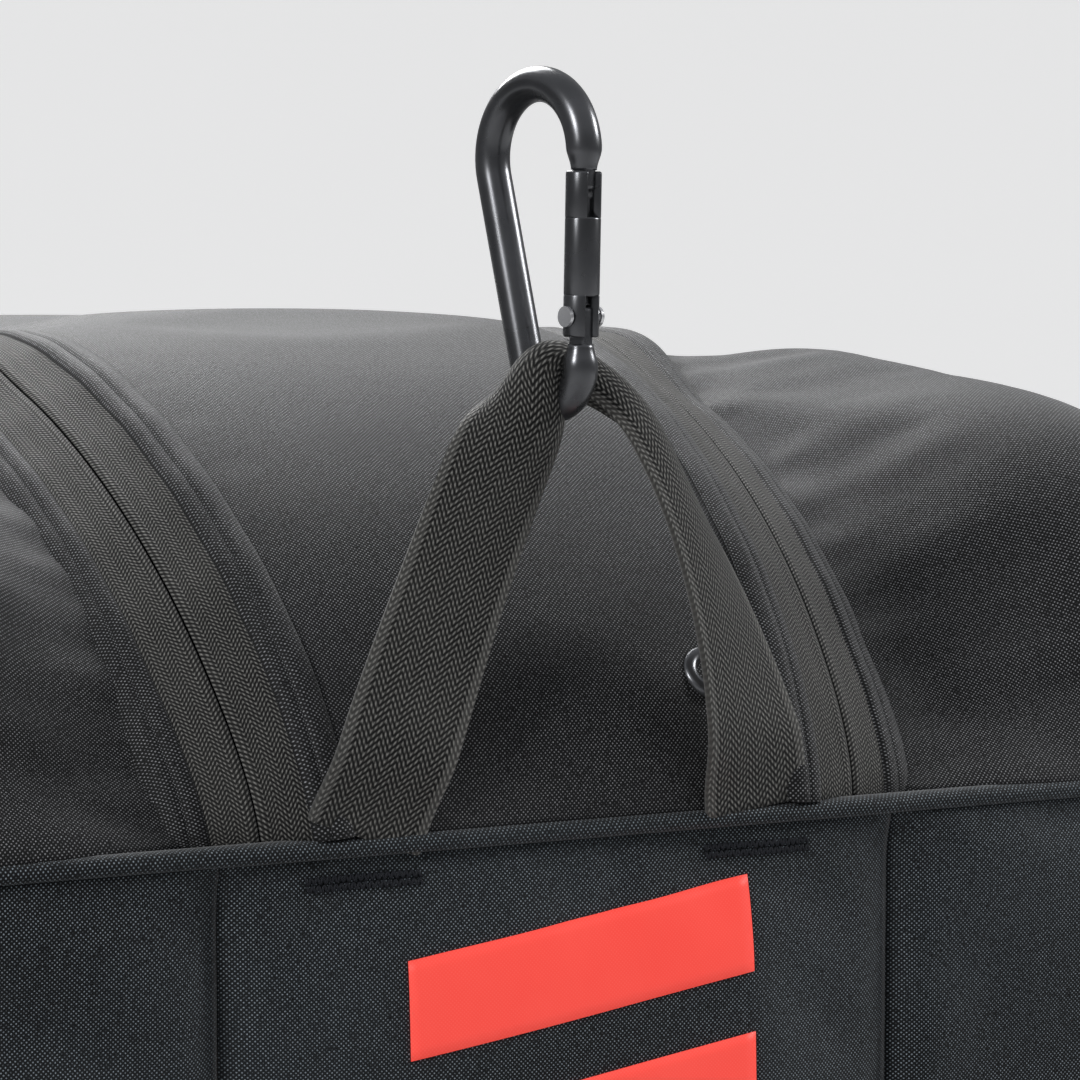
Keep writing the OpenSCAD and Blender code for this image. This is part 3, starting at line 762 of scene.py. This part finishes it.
def coil(name, side):
    """Nylon coil under one tape: a flattened helix that follows the zip line."""
    pitch = 2.6 * MM
    per_turn = 7
    count = int(ZIP_RUN[-1] / pitch) * per_turn
    run = np.linspace(2 * MM, ZIP_RUN[-1] - 2 * MM, count)
    angle = 2 * math.pi * np.arange(count) / per_turn
    d = side * (SLIT + 1.6 * MM + 1.6 * MM * np.cos(angle))
    t0, a0 = np.interp(run, ZIP_RUN, ZIP_T), np.interp(run, ZIP_RUN, ZIP_A)
    dt = np.interp(run, ZIP_RUN, np.gradient(ZIP_T, ZIP_RUN))
    da = np.interp(run, ZIP_RUN, np.gradient(ZIP_A, ZIP_RUN))
    t, a = t0 + d * da, a0 - d * dt
    path = top_surface(t, a, tape_lift(d, t0) - 2.4 * MM + 1.1 * MM * np.sin(angle))
    return tube(name, path, 0.42 * MM, sides=5)


# ---- Strips, tubes and stitches ----

def circles(along, up, sides):
    """Unit circle of directions square to each run direction; up is roughly their normal."""
    side = unit(np.cross(along, up))
    normal = np.cross(side, along)
    angle = 2 * math.pi * np.arange(sides) / sides
    ring = side[:, None, :] * np.cos(angle)[None, :, None]
    return ring + normal[:, None, :] * np.sin(angle)[None, :, None]


def tube(name, path, radius, sides, up=(0.013, 0.021, 1.0)):
    """Round rod along a path; radius may change along it."""
    ring = circles(unit(np.gradient(path, axis=0)), np.array(up), sides)
    radius = np.broadcast_to(radius, len(path))[:, None, None]
    obj = grid_object(name, path[:, None, :] + radius * ring, np.arange(sides + 1)[None, :] * 2 * MM,
                      run_length(path)[:, None], wrap=True)
    cap_ends(obj, len(path), sides)
    return obj


def cap_ends(obj, rows, cols):
    """Closes both ends of a wrapped grid."""
    shape = bmesh.new()
    shape.from_mesh(obj.data)
    shape.verts.ensure_lookup_table()
    shape.faces.new([shape.verts[j] for j in range(cols - 1, -1, -1)])
    shape.faces.new([shape.verts[(rows - 1) * cols + j] for j in range(cols)])
    shape.to_mesh(obj.data)
    shape.free()


def strap(name, path, across, width, curl=0.0, columns=13):
    """Flat webbing along a path. curl is the angle in radians through which its section is bent."""
    along = unit(np.gradient(path, axis=0))
    across = unit(across - along * np.sum(across * along, axis=-1, keepdims=True))
    normal = np.cross(along, across)
    q = np.linspace(-1, 1, columns)[None, :]
    width = np.broadcast_to(width, len(path))[:, None]
    curl = np.maximum(np.broadcast_to(curl, len(path))[:, None], 1e-3)
    radius = width / curl
    flat = radius * np.sin(q * curl / 2)
    bulge = radius * (1 - np.cos(q * curl / 2)) - radius * (1 - np.cos(curl / 2)) / 2
    points = path[:, None, :] + across[:, None, :] * flat[..., None]
    points = points + normal[:, None, :] * bulge[..., None]
    return grid_object(name, points, q * width.max() / 2, run_length(path)[:, None])


def stitches(name, starts, ends, radius, material):
    """One spindle of thread from each start to each end."""
    sides = 6
    ring = circles(unit(ends - starts), np.array([0.31, 0.17, 0.93]), sides)
    share = np.array([0.0, 0.12, 0.5, 0.88, 1.0])
    girth = radius * np.array([0.25, 0.8, 1.0, 0.8, 0.25])
    centre = starts[:, None, :] + (ends - starts)[:, None, :] * share[None, :, None]
    points = centre[:, :, None, :] + girth[None, :, None, None] * ring[:, None, :, :]
    quads = [[r * sides + j, r * sides + (j + 1) % sides,
              (r + 1) * sides + (j + 1) % sides, (r + 1) * sides + j]
             for r in range(len(share) - 1) for j in range(sides)]
    caps = [list(range(sides - 1, -1, -1)), [(len(share) - 1) * sides + j for j in range(sides)]]
    count = len(share) * sides
    faces = [[k * count + i for i in face] for k in range(len(starts)) for face in quads + caps]
    obj = mesh_object(name, points.reshape(-1, 3), faces)
    obj.data.materials.append(material)
    return obj


STITCH_PITCH, STITCH_LENGTH = 3.4 * MM, 2.4 * MM


def running_stitch(path, out, above=0.25 * MM):
    """Starts and ends of a line of stitches laid along a path."""
    run = run_length(path)
    first = np.arange(2 * MM, run[-1] - STITCH_LENGTH, STITCH_PITCH)

    def at(where):
        return np.stack([np.interp(where, run, path[:, k] + out[:, k] * above) for k in range(3)], -1)
    return at(first), at(first + STITCH_LENGTH)


# ---- Build the soft goods ----

uppers = [side_upper(s) for s in (-1, 1)]
lowers = [side_lower(s) for s in (-1, 1)]
ends = [end_panel(0), end_panel(1)]
band_obj = band()
yoke_obj = yoke()
base_obj = base_sheet()
run_cloth()

for obj in uppers + [band_obj, yoke_obj]:
    finish_cloth(obj, FABRIC)
for obj in lowers + ends:
    finish_cloth(obj, LOWER_FABRIC)
finish_cloth(base_obj, BASE_FABRIC, levels=0, thickness=1.6 * MM, offset=1)

tape_outer = finish_cloth(zip_tape("zip_tape_outer_cloth", SLIT * 0.6, TAPE + 1 * MM),
                          TAPE_CLOTH, 1, 0.7 * MM)
tape_inner = finish_cloth(zip_tape("zip_tape_inner_cloth", -TAPE - 1 * MM, -SLIT * 0.6),
                          TAPE_CLOTH, 1, 0.7 * MM)
lip_outer = finish_cloth(zip_lip("zip_lip_outer", 1), FABRIC, 1, 0.6 * MM)
lip_inner = finish_cloth(zip_lip("zip_lip_inner", -1), FABRIC, 1, 0.6 * MM)
coil_outer = finish_cloth(coil("zip_coil_outer_teeth", 1), COIL, 0, 0)
coil_inner = finish_cloth(coil("zip_coil_inner_teeth", -1), COIL, 0, 0)


def lip_stitches(name, side):
    """Topstitching in the groove of a folded zip edge."""
    groove = side * (TAPE + GROOVE)
    t, a = offset_path(ZIP_T, ZIP_A, groove)
    t = np.maximum(t, 0.5 * MM)
    path = top_surface(t, a, tape_lift(groove, t) + 0.8 * MM)
    return stitches(name, *running_stitch(path, outward(t, a)), 0.32 * MM, STITCH)


lip_thread_outer = lip_stitches("lip_stitches_outer", 1)
lip_thread_inner = lip_stitches("lip_stitches_inner", -1)

# ---- Seam welt, piping and the stitching on them ----

ROUND = np.linspace(0, 2 * HALF_OUTLINE, 601)[:-1]
WELT_OUT = np.array([-1.5, 0.5, 1.2, 1.6, 1.5, 1.0, 0.4, -1.5]) * MM
WELT_UP = SEAM_Z + np.array([-2.9, -2.6, -2.1, -1.3, -0.4, 0.3, 0.6, 0.9]) * MM
WELT_PUSH = 1.2 * MM  # the welt stands further out where the loop's feet go in


def welt_push():
    """Extra outward shift of the welt at every point of ROUND."""
    from_front = np.minimum(ROUND, 2 * HALF_OUTLINE - ROUND)
    return WELT_PUSH * (1 - smooth((from_front - END_HALF + 8 * MM) / (16 * MM)))


def level_line(out_by, z):
    """Closed line round the bag, out_by outside its outline at height z."""
    place, out = around(ROUND)
    moved = place + out * np.broadcast_to(out_by, ROUND.shape)[:, None]
    return np.concatenate([moved, np.full((len(ROUND), 1), z)], 1)


def perimeter_profile(name, outs, heights):
    """Closed strip round the bag with a given section."""
    columns = [level_line(o + welt_push() * (o > 0), z) for o, z in zip(outs, heights)]
    v = np.concatenate([ROUND, [2 * HALF_OUTLINE]])
    u = total_run(np.hypot(np.diff(outs), np.diff(heights)))
    return grid_object(name, np.stack(columns, 1), u[None, :], v[:, None], closed=True)


welt = perimeter_profile("seam_welt_cloth", WELT_OUT, WELT_UP)
finish_cloth(welt, LOWER_FABRIC, 1, 0.5 * MM)


def welt_stitches():
    """Topstitching round the welt."""
    path = level_line(1.45 * MM + welt_push(), SEAM_Z - 0.8 * MM)
    out3 = np.concatenate([around(ROUND)[1], 0 * ROUND[:, None]], 1)
    return stitches("welt_stitches", *running_stitch(path, out3, above=0.1 * MM), 0.3 * MM, STITCH)


welt_thread = welt_stitches()

PIPE_R = 2.7 * MM


def piping_roll():
    """Round piping along the base seam."""
    lines = [level_line(0.8 * MM + PIPE_R * math.cos(turn), PIPE_R * (2 + math.sin(turn)))
             for turn in np.linspace(0, 2 * math.pi, 13)[:-1]]
    return grid_object("base_piping_roll", np.stack(lines, 1), np.arange(13)[None, :] * MM,
                       np.arange(len(ROUND) + 1)[:, None] * MM, wrap=True, closed=True)


pipe = piping_roll()
finish_cloth(pipe, PIPING, 0, 0)

# ---- Print, eyelets and stitch blocks on the front end ----

front_tree = surface_tree(ends[0])
band_tree = surface_tree(band_obj)
FRONT = np.array([0.0, -1.0, 0.0])


BARS = 5


def print_bars():
    """Plain slanted bars printed down the middle end panel."""
    lo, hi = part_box("print_bars")
    pitch, height, slant = 36 * MM, 22 * MM, 12 * MM
    parts = []
    for k in range(BARS):
        x, f = np.meshgrid(np.linspace(lo.x, hi.x, 30), np.linspace(0, 1, 9))
        z = hi.z - k * pitch - height * f - slant * (hi.x - x) / (hi.x - lo.x)
        points = drape(front_tree, np.stack([x, 0 * x - HALF_L, z], -1), FRONT, 0.15 * MM)
        parts.append(grid_object("bar", points, x, z, flip=True))
    return join("print_bars_film", parts)


bars = finish_cloth(print_bars(), PRINT, 0, 0.25 * MM, offset=1)


def eyelets():
    """Rolled metal rings set in the shoulder cloth, each with a dark recessed middle."""
    lo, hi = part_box("vent_eyelets")
    middle = (lo + hi) / 2
    reach = (hi.x - lo.x) / 2 - 6.6 * MM
    radii = np.array([7.0, 6.9, 6.4, 5.4, 4.4, 3.6, 3.3, 3.2, 3.1, 0.2]) * MM
    height = np.array([-0.6, 0.5, 1.2, 1.6, 1.5, 1.0, 0.2, -0.8, -1.2, -1.2]) * MM
    angle = 2 * math.pi * np.arange(40) / 40
    t = float(np.interp(middle.z - SEAM_Z, RISE * UP, CURVE_RUN))
    parts = []
    for side in (-1, 1):
        a = np.array([side * reach])
        out = outward(np.array([t]), a)[0]
        centre = drape(band_tree, top_surface(np.array([t]), a, 0.0), out, 0.0)[0]
        right = unit(np.cross(np.array([0, 0, 1.0]), out))
        up = np.cross(out, right)
        ring = right * np.cos(angle)[:, None] + up * np.sin(angle)[:, None]
        points = centre + radii[:, None, None] * ring[None] + height[:, None, None] * out
        part = grid_object("ring", points, np.arange(41)[None, :] * MM, radii[:, None],
                           flip=True, wrap=True)
        parts.append(part)
    return join("vent_eyelet_rings", parts)


rings = finish_cloth(eyelets(), BLACK_METAL, 1, 0)

LOOP_X = APEX.x


def bartacks():
    """Dense zigzag blocks of thread below each end of the hang loop."""
    starts, stops = [], []
    for side in (-1, 1):
        for row, z in enumerate((SEAM_Z - 7.6 * MM, SEAM_Z - 9.4 * MM)):
            x = LOOP_X + side * LOOP_FOOT + np.linspace(-13.5, 13.5, 40) * MM + row * 0.3 * MM
            rise = np.where(np.arange(40) % 2 == 0, 1.0, -1.0) * 0.85 * MM
            points = np.stack([x, 0 * x - HALF_L, z + rise], -1)
            laid = drape(front_tree, points, FRONT, 0.3 * MM)
            starts.append(laid[:-1])
            stops.append(laid[1:])
    return stitches("loop_bartack_thread", np.concatenate(starts), np.concatenate(stops),
                    0.36 * MM, THREAD)


tacks = bartacks()

# ---- Hang loop ----

LOOP_RISE = APEX.z - SEAM_Z
LEAN = APEX.y - LOOP_HINGE.y
WEB_W = 25 * MM
TO_GATE = np.array([SWING_AXIS.y, -SWING_AXIS.x, 0.0])  # in the carabiner's plane, level, towards the gate

# Turn of the webbing about the vertical along the loop, in degrees from its turn in the carabiner:
# the left leg opens flat soon, the right leg stays edge-on and turns flat close to its foot.
LEG_AT = [-1.0, -0.45, -0.12, 0.12, 0.35, 0.55, 0.70, 0.84, 1.0]
LEG_TURN = [75, 72, 5, -5, -43, -57, -68, -78, -105]
CURL_GRIPPED, CURL_LEFT, CURL_RIGHT = 4.9, 0.35, 1.1  # how far round the webbing rolls across itself


def loop_piece():
    """Webbing from one sewn foot through the carabiner to the other: curled where it is gripped."""
    s = np.linspace(-1, 1, 121)
    straight = 0.5 + np.where(s < 0, 0.3, -0.28) * smooth(np.abs(s) / 0.4)
    x = LOOP_FOOT * s * (straight * np.abs(s) + (1 - straight) * np.sqrt(2 - s * s))
    tucked = 4.4 * MM * smooth((np.abs(s) - 0.9) / 0.1)
    turned_in = x * TO_GATE[0] / TO_GATE[1] * np.exp(-((x / (10 * MM)) ** 2))
    y = LOOP_HINGE.y + LEAN * (1 - s * s) - turned_in + tucked
    z = APEX.z + 0.5 * MM - (LOOP_RISE - 0.5 * MM) * s * s
    path = np.stack([LOOP_X + x, y, z], -1)
    top = math.degrees(math.atan2(TO_GATE[1], TO_GATE[0]))
    turn = np.interp(s, LEG_AT, top + np.array(LEG_TURN))
    turn = np.radians(np.convolve(np.pad(turn, 6, "edge"), np.ones(13) / 13, "valid"))
    across = np.stack([np.cos(turn), np.sin(turn), 0 * s], -1)
    width = WEB_W * (1 + 0.12 * smooth((np.abs(s) - 0.6) / 0.4))
    opened = smooth((np.abs(s) - 0.02) / 0.62)
    leg_curl = np.where(s > 0, CURL_RIGHT, CURL_LEFT) * (1 - smooth((np.abs(s) - 0.5) / 0.45))
    curl = CURL_GRIPPED * (1 - opened) + leg_curl * opened
    return strap("hang_loop_web", path, across, width, curl, columns=17)


loop_web = finish_cloth(loop_piece(), WEBBING, 1, 1.3 * MM, offset=0)

# ---- Carabiner body ----

ROD_R = 4 * MM
BOW_SMALL, BOW_LARGE, BOW_GAP = 9 * MM, 16 * MM, 47 * MM
LEAN_ANGLE = math.radians(7)
SLOPE = math.asin((BOW_LARGE - BOW_SMALL) / BOW_GAP)
GATE_RUN = BOW_GAP * math.cos(SLOPE)


def hook_place(flat):
    """Points of the carabiner's own plane, as x, y and thickness, in the bag's frame."""
    x = flat[..., 0] * math.cos(LEAN_ANGLE) - flat[..., 1] * math.sin(LEAN_ANGLE)
    y = flat[..., 0] * math.sin(LEAN_ANGLE) + flat[..., 1] * math.cos(LEAN_ANGLE)
    n = np.array(SWING_AXIS)
    up = np.array([0, 0, 1.0])
    return np.array(APEX) + x[..., None] * TO_GATE + y[..., None] * up + flat[..., 2:3] * n


def gate_line(t, side=0.0, thick=0.0):
    """Point beside the gate's centre line, t along it from the small bow."""
    x = BOW_SMALL * math.cos(SLOPE) + t * math.sin(SLOPE) + side * math.cos(SLOPE)
    y = -BOW_SMALL * math.sin(SLOPE) + t * math.cos(SLOPE) - side * math.sin(SLOPE)
    return np.stack(np.broadcast_arrays(x, y, thick), -1)


def gate_solid(name, t, side, thick):
    """Closed solid from one ring of points at each t along the gate line."""
    rows, cols = side.shape
    obj = grid_object(name, hook_place(gate_line(t + 0 * side, side, thick + 0 * side)),
                      np.arange(cols + 1)[None, :] * MM, t, wrap=True)
    cap_ends(obj, rows, cols)
    return obj


def squared(value, power):
    """Bends a cosine or sine so that a circle becomes a rounded rectangle."""
    return np.sign(value) * np.abs(value) ** power


TAB_HALF, TAB_THICK = 2.7 * MM, 1.5 * MM


def tongue(name, t0, t1):
    """Flat rounded tab at a rod end that enters the gate's slot."""
    t = np.linspace(t0, t1, 14)[:, None]
    angle = 2 * math.pi * np.arange(20)[None, :] / 20
    taper = np.minimum(1, np.minimum(t - t0, t1 - t) / (1.2 * MM) + 0.55)
    side = TAB_HALF * taper * squared(np.cos(angle), 0.4)
    return gate_solid(name, t, side, TAB_THICK * squared(np.sin(angle), 0.4))


def carabiner_rod():
    """Pear-shaped rod with both ends drawn down into tabs."""
    low = np.radians(np.linspace(-math.degrees(SLOPE), -180 + math.degrees(SLOPE), 34))
    high = np.radians(np.linspace(180 + math.degrees(SLOPE), -math.degrees(SLOPE), 56))
    start = gate_line(np.linspace(5 * MM, 1 * MM, 6))
    bow0 = np.stack([BOW_SMALL * np.cos(low), BOW_SMALL * np.sin(low), 0 * low], -1)
    bow1 = np.stack([BOW_LARGE * np.cos(high), BOW_GAP + BOW_LARGE * np.sin(high), 0 * high], -1)
    spine = bow0[-1] + (bow1[0] - bow0[-1]) * np.linspace(0, 1, 22)[1:-1, None]
    stop = gate_line(np.linspace(GATE_RUN - 1 * MM, GATE_RUN - 3.2 * MM, 5))
    flat = np.concatenate([start, bow0, spine, bow1, stop])
    path = hook_place(flat)
    run = run_length(path)
    nose = smooth(np.minimum(run, run[-1] - run) / (5 * MM))
    rod = tube("rod", path, ROD_R * (0.72 + 0.28 * nose), sides=28, up=tuple(SWING_AXIS))
    low_tab = tongue("low_tab", 2 * MM, 13.6 * MM)
    nose_tab = tongue("nose_tab", 38.6 * MM, GATE_RUN + 1 * MM)
    return join("carabiner_rod", [rod, low_tab, nose_tab])


rod = finish_cloth(carabiner_rod(), BLACK_METAL, 0, 0)

GATE_FROM, GATE_TO = 6.5 * MM, 43 * MM  # the gate's ends, along its centre line
SLOT_FROM, SLOT_TO = 15.5 * MM, 33 * MM  # floors of its two slots
SLOT_HALF = 1.8 * MM


def gate_bar(name, t0, t1, first, last):
    """Length of the gate with an arc section from one angle to the other, its ends slightly rounded."""
    edge = 0.5 * MM
    t = np.array([t0, t0 + 0.3 * edge, t0 + edge, t1 - edge, t1 - 0.3 * edge, t1])[:, None]
    scale = np.array([0.90, 0.97, 1, 1, 0.97, 0.90])[:, None]
    whole = last - first > 1.9 * math.pi
    angle = np.linspace(first, last, 36, endpoint=not whole)[None, :]
    side = ROD_R * scale * np.cos(angle)
    thick = ROD_R * scale * np.sin(angle)
    if not whole:
        low = SLOT_HALF * math.copysign(1, math.sin((first + last) / 2))
        thick = np.where(low > 0, np.maximum(thick, low), np.minimum(thick, low))
    return gate_solid(name, t, side, thick)


def gate_piece():
    """Round bar with two prongs at each end that grip the frame's tabs."""
    cut = math.asin(SLOT_HALF / ROD_R)
    parts = [gate_bar("middle", SLOT_FROM, SLOT_TO, 0, 2 * math.pi)]
    lap = 0.5 * MM
    for name, t0, t1 in (("hinge", GATE_FROM, SLOT_FROM + lap), ("nose", SLOT_TO - lap, GATE_TO)):
        parts.append(gate_bar(name + "_upper", t0, t1, cut, math.pi - cut))
        parts.append(gate_bar(name + "_lower", t0, t1, math.pi + cut, 2 * math.pi - cut))
    return join("carabiner_gate_bar", parts)


gate = finish_cloth(gate_piece(), BLACK_METAL, 0, 0)

# ---- Carry handles ----

HANDLE_HINGE = Vector(JOINTS["handle_right_swing"]["pos_m"])
HANDLE_SPAN = (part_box("handle_webbing_right")[1].y - 19 * MM) * 2
HANDLE_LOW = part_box("handle_right")[0].z + 15 * MM
HANDLE_W = 30 * MM
side_trees = [surface_tree(obj) for obj in lowers]


def handle_path(side, reach, count):
    """Centre line of a hanging handle over its middle share reach, laid on the side wall."""
    s = np.linspace(-reach, reach, count)
    turn = s * math.pi / 2
    y = HANDLE_SPAN / 2 * np.sin(turn)
    z = HANDLE_HINGE.z - (HANDLE_HINGE.z - HANDLE_LOW) * np.maximum(np.cos(turn), 0) ** 0.6
    out = np.array([float(side), 0.0, 0.0])
    points = np.stack([0 * s + side * HALF_W, y, z], -1)
    laid = drape(side_trees[side > 0], points, out, 3.4 * MM)
    stand = np.convolve(np.pad(laid[:, 0] * side, 4, "edge"), np.ones(9) / 9, "valid")
    laid[:, 0] = side * np.maximum(stand, HANDLE_HINGE.x - 1 * MM)
    return laid


def handle(side, name):
    """One carry handle."""
    path = handle_path(side, 1.0, 81)
    along = unit(np.gradient(path, axis=0))
    across = np.cross(along, np.array([float(side), 0, 0]))
    return finish_cloth(strap(name, path, across, HANDLE_W), HANDLE_WEB, 1, 2.4 * MM, offset=0)


def handle_strips(side, name):
    """Two webbing runs sewn down a side, from the base to the handle's ends."""
    lo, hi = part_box("handle_webbing_right")
    half = 19 * MM
    parts = []
    for y0 in (-HANDLE_SPAN / 2, HANDLE_SPAN / 2):
        z, q = lattice(np.linspace(lo.z, hi.z + 6 * MM, 60), np.linspace(-half, half, 13))
        points = np.stack([0 * z + side * HALF_W, y0 + q, z], -1)
        laid = drape(side_trees[side > 0], points, np.array([float(side), 0.0, 0.0]), 0.3 * MM)
        parts.append(grid_object("run", laid, q, z, flip=side < 0))
    return finish_cloth(join(name, parts), HANDLE_WEB, 1, 1.5 * MM, offset=1)


def grip_wrap():
    """Padded sleeve round the middle of the left handle, pinched at its ends."""
    path = handle_path(-1, 0.28, 41)
    along = unit(np.gradient(path, axis=0))
    across = unit(np.cross(along, np.array([-1.0, 0, 0])))
    angle = 2 * math.pi * np.arange(28) / 28
    f = np.linspace(-1, 1, 41)
    girth = 1 - 0.25 * np.abs(f) ** 8
    wide = girth[:, None] * 19 * MM * squared(np.cos(angle), 0.55)[None, :]
    thick = girth[:, None] * 4.6 * MM * squared(np.sin(angle), 0.8)[None, :]
    points = path[:, None, :] + across[:, None, :] * wide[..., None]
    points = points + thick[..., None] * np.array([-1.0, 0, 0])
    obj = grid_object("handle_wrap_pad", points, np.arange(29)[None, :] * 3 * MM,
                      run_length(path)[:, None], wrap=True)
    return finish_cloth(obj, GRIP, 1, 1.2 * MM, offset=-1)


handles = [handle(-1, "handle_left_web"), handle(1, "handle_right_web")]
strips = [handle_strips(-1, "handle_strips_left"), handle_strips(1, "handle_strips_right")]
wrap = grip_wrap()

# ---- Who rides on what ----

REPLACED = [
    (uppers[0], "side_upper_left"), (uppers[1], "side_upper_right"),
    (lowers[0], "side_lower_left"), (lowers[1], "side_lower_right"),
    (ends[0], "end_panel_front"), (ends[1], "end_panel_rear"),
    (yoke_obj, "rear_yoke"), (base_obj, "base_panel"),
    (band_obj, "shoulder_panel", "lid_panel"), (tape_outer, "zip_tape_outer"),
    (tape_inner, "zip_tape_front", "zip_tape_lid"), (coil_outer, "zip_coil_outer"),
    (coil_inner, "zip_coil_front", "zip_coil_lid"), (welt, "seam_welt"),
    (pipe, "base_piping"), (bars, "print_bars"),
    (rings, "vent_eyelets"), (tacks, "loop_bartacks"),
    (loop_web, "hang_loop"), (rod, "carabiner_body"),
    (gate, "carabiner_gate"), (strips[0], "handle_webbing_left"),
    (strips[1], "handle_webbing_right"), (handles[0], "handle_left"),
    (handles[1], "handle_right"), (wrap, "handle_wrap"),
]
for obj, *nodes in REPLACED:
    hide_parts(*nodes)
on_bag = uppers + lowers + ends + strips
on_bag += [yoke_obj, base_obj, tape_outer, lip_outer, coil_outer, lip_thread_outer, welt, welt_thread]
on_bag += [pipe, bars, rings, tacks]
for obj in on_bag:
    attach(obj, "bag")
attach(loop_web, "hang_loop")
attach(rod, "carabiner")
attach(gate, "gate")
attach(handles[0], "handle_left")
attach(wrap, "handle_left")
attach(handles[1], "handle_right")
for obj in (band_obj, tape_inner, lip_inner, coil_inner, lip_thread_inner):
    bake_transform(obj)

# ---- CAD nodes that stay, with their finishes ----

CAD_FINISH = {
    "base_board": BOARD, "eyelet_washers": STEEL, "slider_left": BLACK_METAL, "slider_right": BLACK_METAL,
    "pull_left": PULL, "pull_right": PULL, "gate_rivet": STEEL,
    "gate_latch_pin": STEEL, "gate_spring": STEEL,
}
for node_name, finish in CAD_FINISH.items():
    node = frame["nodes"][node_name]
    node.data.materials.clear()
    node.data.materials.append(finish)

# ---- Stage, light and camera ----

FLOOR_REACH, BOWL_R = 4.0, 3.0


def bowl():
    """Pale floor that curves up into a backdrop on every side."""
    climb = np.linspace(0.1, math.pi / 2, 12)
    flat = [0.01, 0.4, 1.0, 2.5, FLOOR_REACH]
    radii = np.concatenate([flat, FLOOR_REACH + BOWL_R * np.sin(climb)])
    heights = np.concatenate([[0] * len(flat), BOWL_R * (1 - np.cos(climb))])
    angles = np.linspace(0, 2 * math.pi, 65)[:-1]
    points = np.stack([np.stack([r * np.cos(angles), r * np.sin(angles), 0 * angles + h - 0.6 * MM], -1)
                       for r, h in zip(radii, heights)])
    return grid_object("floor", points, radii[:, None], np.arange(65)[None, :], flip=True, wrap=True)


FLOOR_GLOW = 0.66  # what the camera sees on top of the lit paint


def floor_paint():
    """Pale paint that the camera sees lit evenly, while it throws only a little light on the bag."""
    n = Nodes("floor_paint")
    paint = n.ramp(n.noise(3, 2), (0.50, 0.50, 0.50), (0.52, 0.52, 0.52))
    n.surface(Base_Color=paint, Roughness=0.9, Specular_IOR_Level=0.0)
    n.bsdf.inputs["Emission Color"].default_value = (0.985, 0.985, 0.985, 1)
    seen = n.tree.nodes.new("ShaderNodeLightPath").outputs["Is Camera Ray"]
    n.put(n.bsdf.inputs["Emission Strength"], n.math("MULTIPLY", seen, FLOOR_GLOW))
    return n.material


floor = bowl()
floor.data.materials.append(floor_paint())


SKY_LOW, SKY_HIGH = 0.20, 0.36  # strength at the horizon and overhead


def studio_world():
    """Soft light that is brightest overhead and fades to the horizon."""
    world = bpy.data.worlds.new("studio")
    world.use_nodes = True
    tree = world.node_tree
    split = tree.nodes.new("ShaderNodeSeparateXYZ")
    tree.links.new(tree.nodes.new("ShaderNodeTexCoord").outputs["Generated"], split.inputs[0])
    fade = tree.nodes.new("ShaderNodeMapRange")
    fade.inputs["From Min"].default_value = 0.1
    fade.inputs["From Max"].default_value = 1.0
    fade.inputs["To Min"].default_value = SKY_LOW
    fade.inputs["To Max"].default_value = SKY_HIGH
    tree.links.new(split.outputs[2], fade.inputs["Value"])
    back = tree.nodes["Background"]
    back.inputs[0].default_value = (0.94, 0.96, 1.0, 1)
    tree.links.new(fade.outputs[0], back.inputs[1])
    return world


bpy.context.scene.world = studio_world()


def area_light(name, place, aim, size, power):
    """Square softbox at place, turned to aim."""
    data = bpy.data.lights.new(name, "AREA")
    data.size = size
    data.energy = power
    lamp = bpy.data.objects.new(name, data)
    lamp.location = place
    lamp.rotation_euler = (Vector(aim) - Vector(place)).to_track_quat("-Z", "Y").to_euler()
    bpy.context.scene.collection.objects.link(lamp)


END_CENTRE = (0, -HALF_L, SEAM_Z)
KEY, FILL, RIM = 47, 20, 16  # watts
area_light("key_behind", (0.1, 1.5, 1.75), END_CENTRE, 1.2, KEY)
area_light("fill_left", (-2.2, -1.2, 1.5), END_CENTRE, 0.6, FILL)
area_light("rim_right", (1.9, -0.7, 1.3), END_CENTRE, 0.5, RIM)

CAMERA_TURN = math.radians(-25)
CAMERA_DOWN = math.radians(4.5)
CAMERA_AWAY = 0.68
CAMERA_ASIDE = -8.8 * MM
CAMERA_OVER = 10.6 * MM  # above the bag's top
LENS_OVER_FRAME = 3060 / 1080
SENSOR = 36.0
camera_data = bpy.data.cameras.new("camera")
camera_data.sensor_width = SENSOR
camera_data.lens = LENS_OVER_FRAME * SENSOR
camera = bpy.data.objects.new("camera", camera_data)
bpy.context.scene.collection.objects.link(camera)
ahead = Vector((-math.sin(CAMERA_TURN), math.cos(CAMERA_TURN), 0))
camera.location = Vector((CAMERA_ASIDE, -HALF_L, TOP + CAMERA_OVER)) - ahead * CAMERA_AWAY
camera.rotation_euler = (math.pi / 2 - CAMERA_DOWN, 0, CAMERA_TURN)
bpy.context.scene.camera = camera
bpy.context.scene.view_settings.view_transform = "Standard"
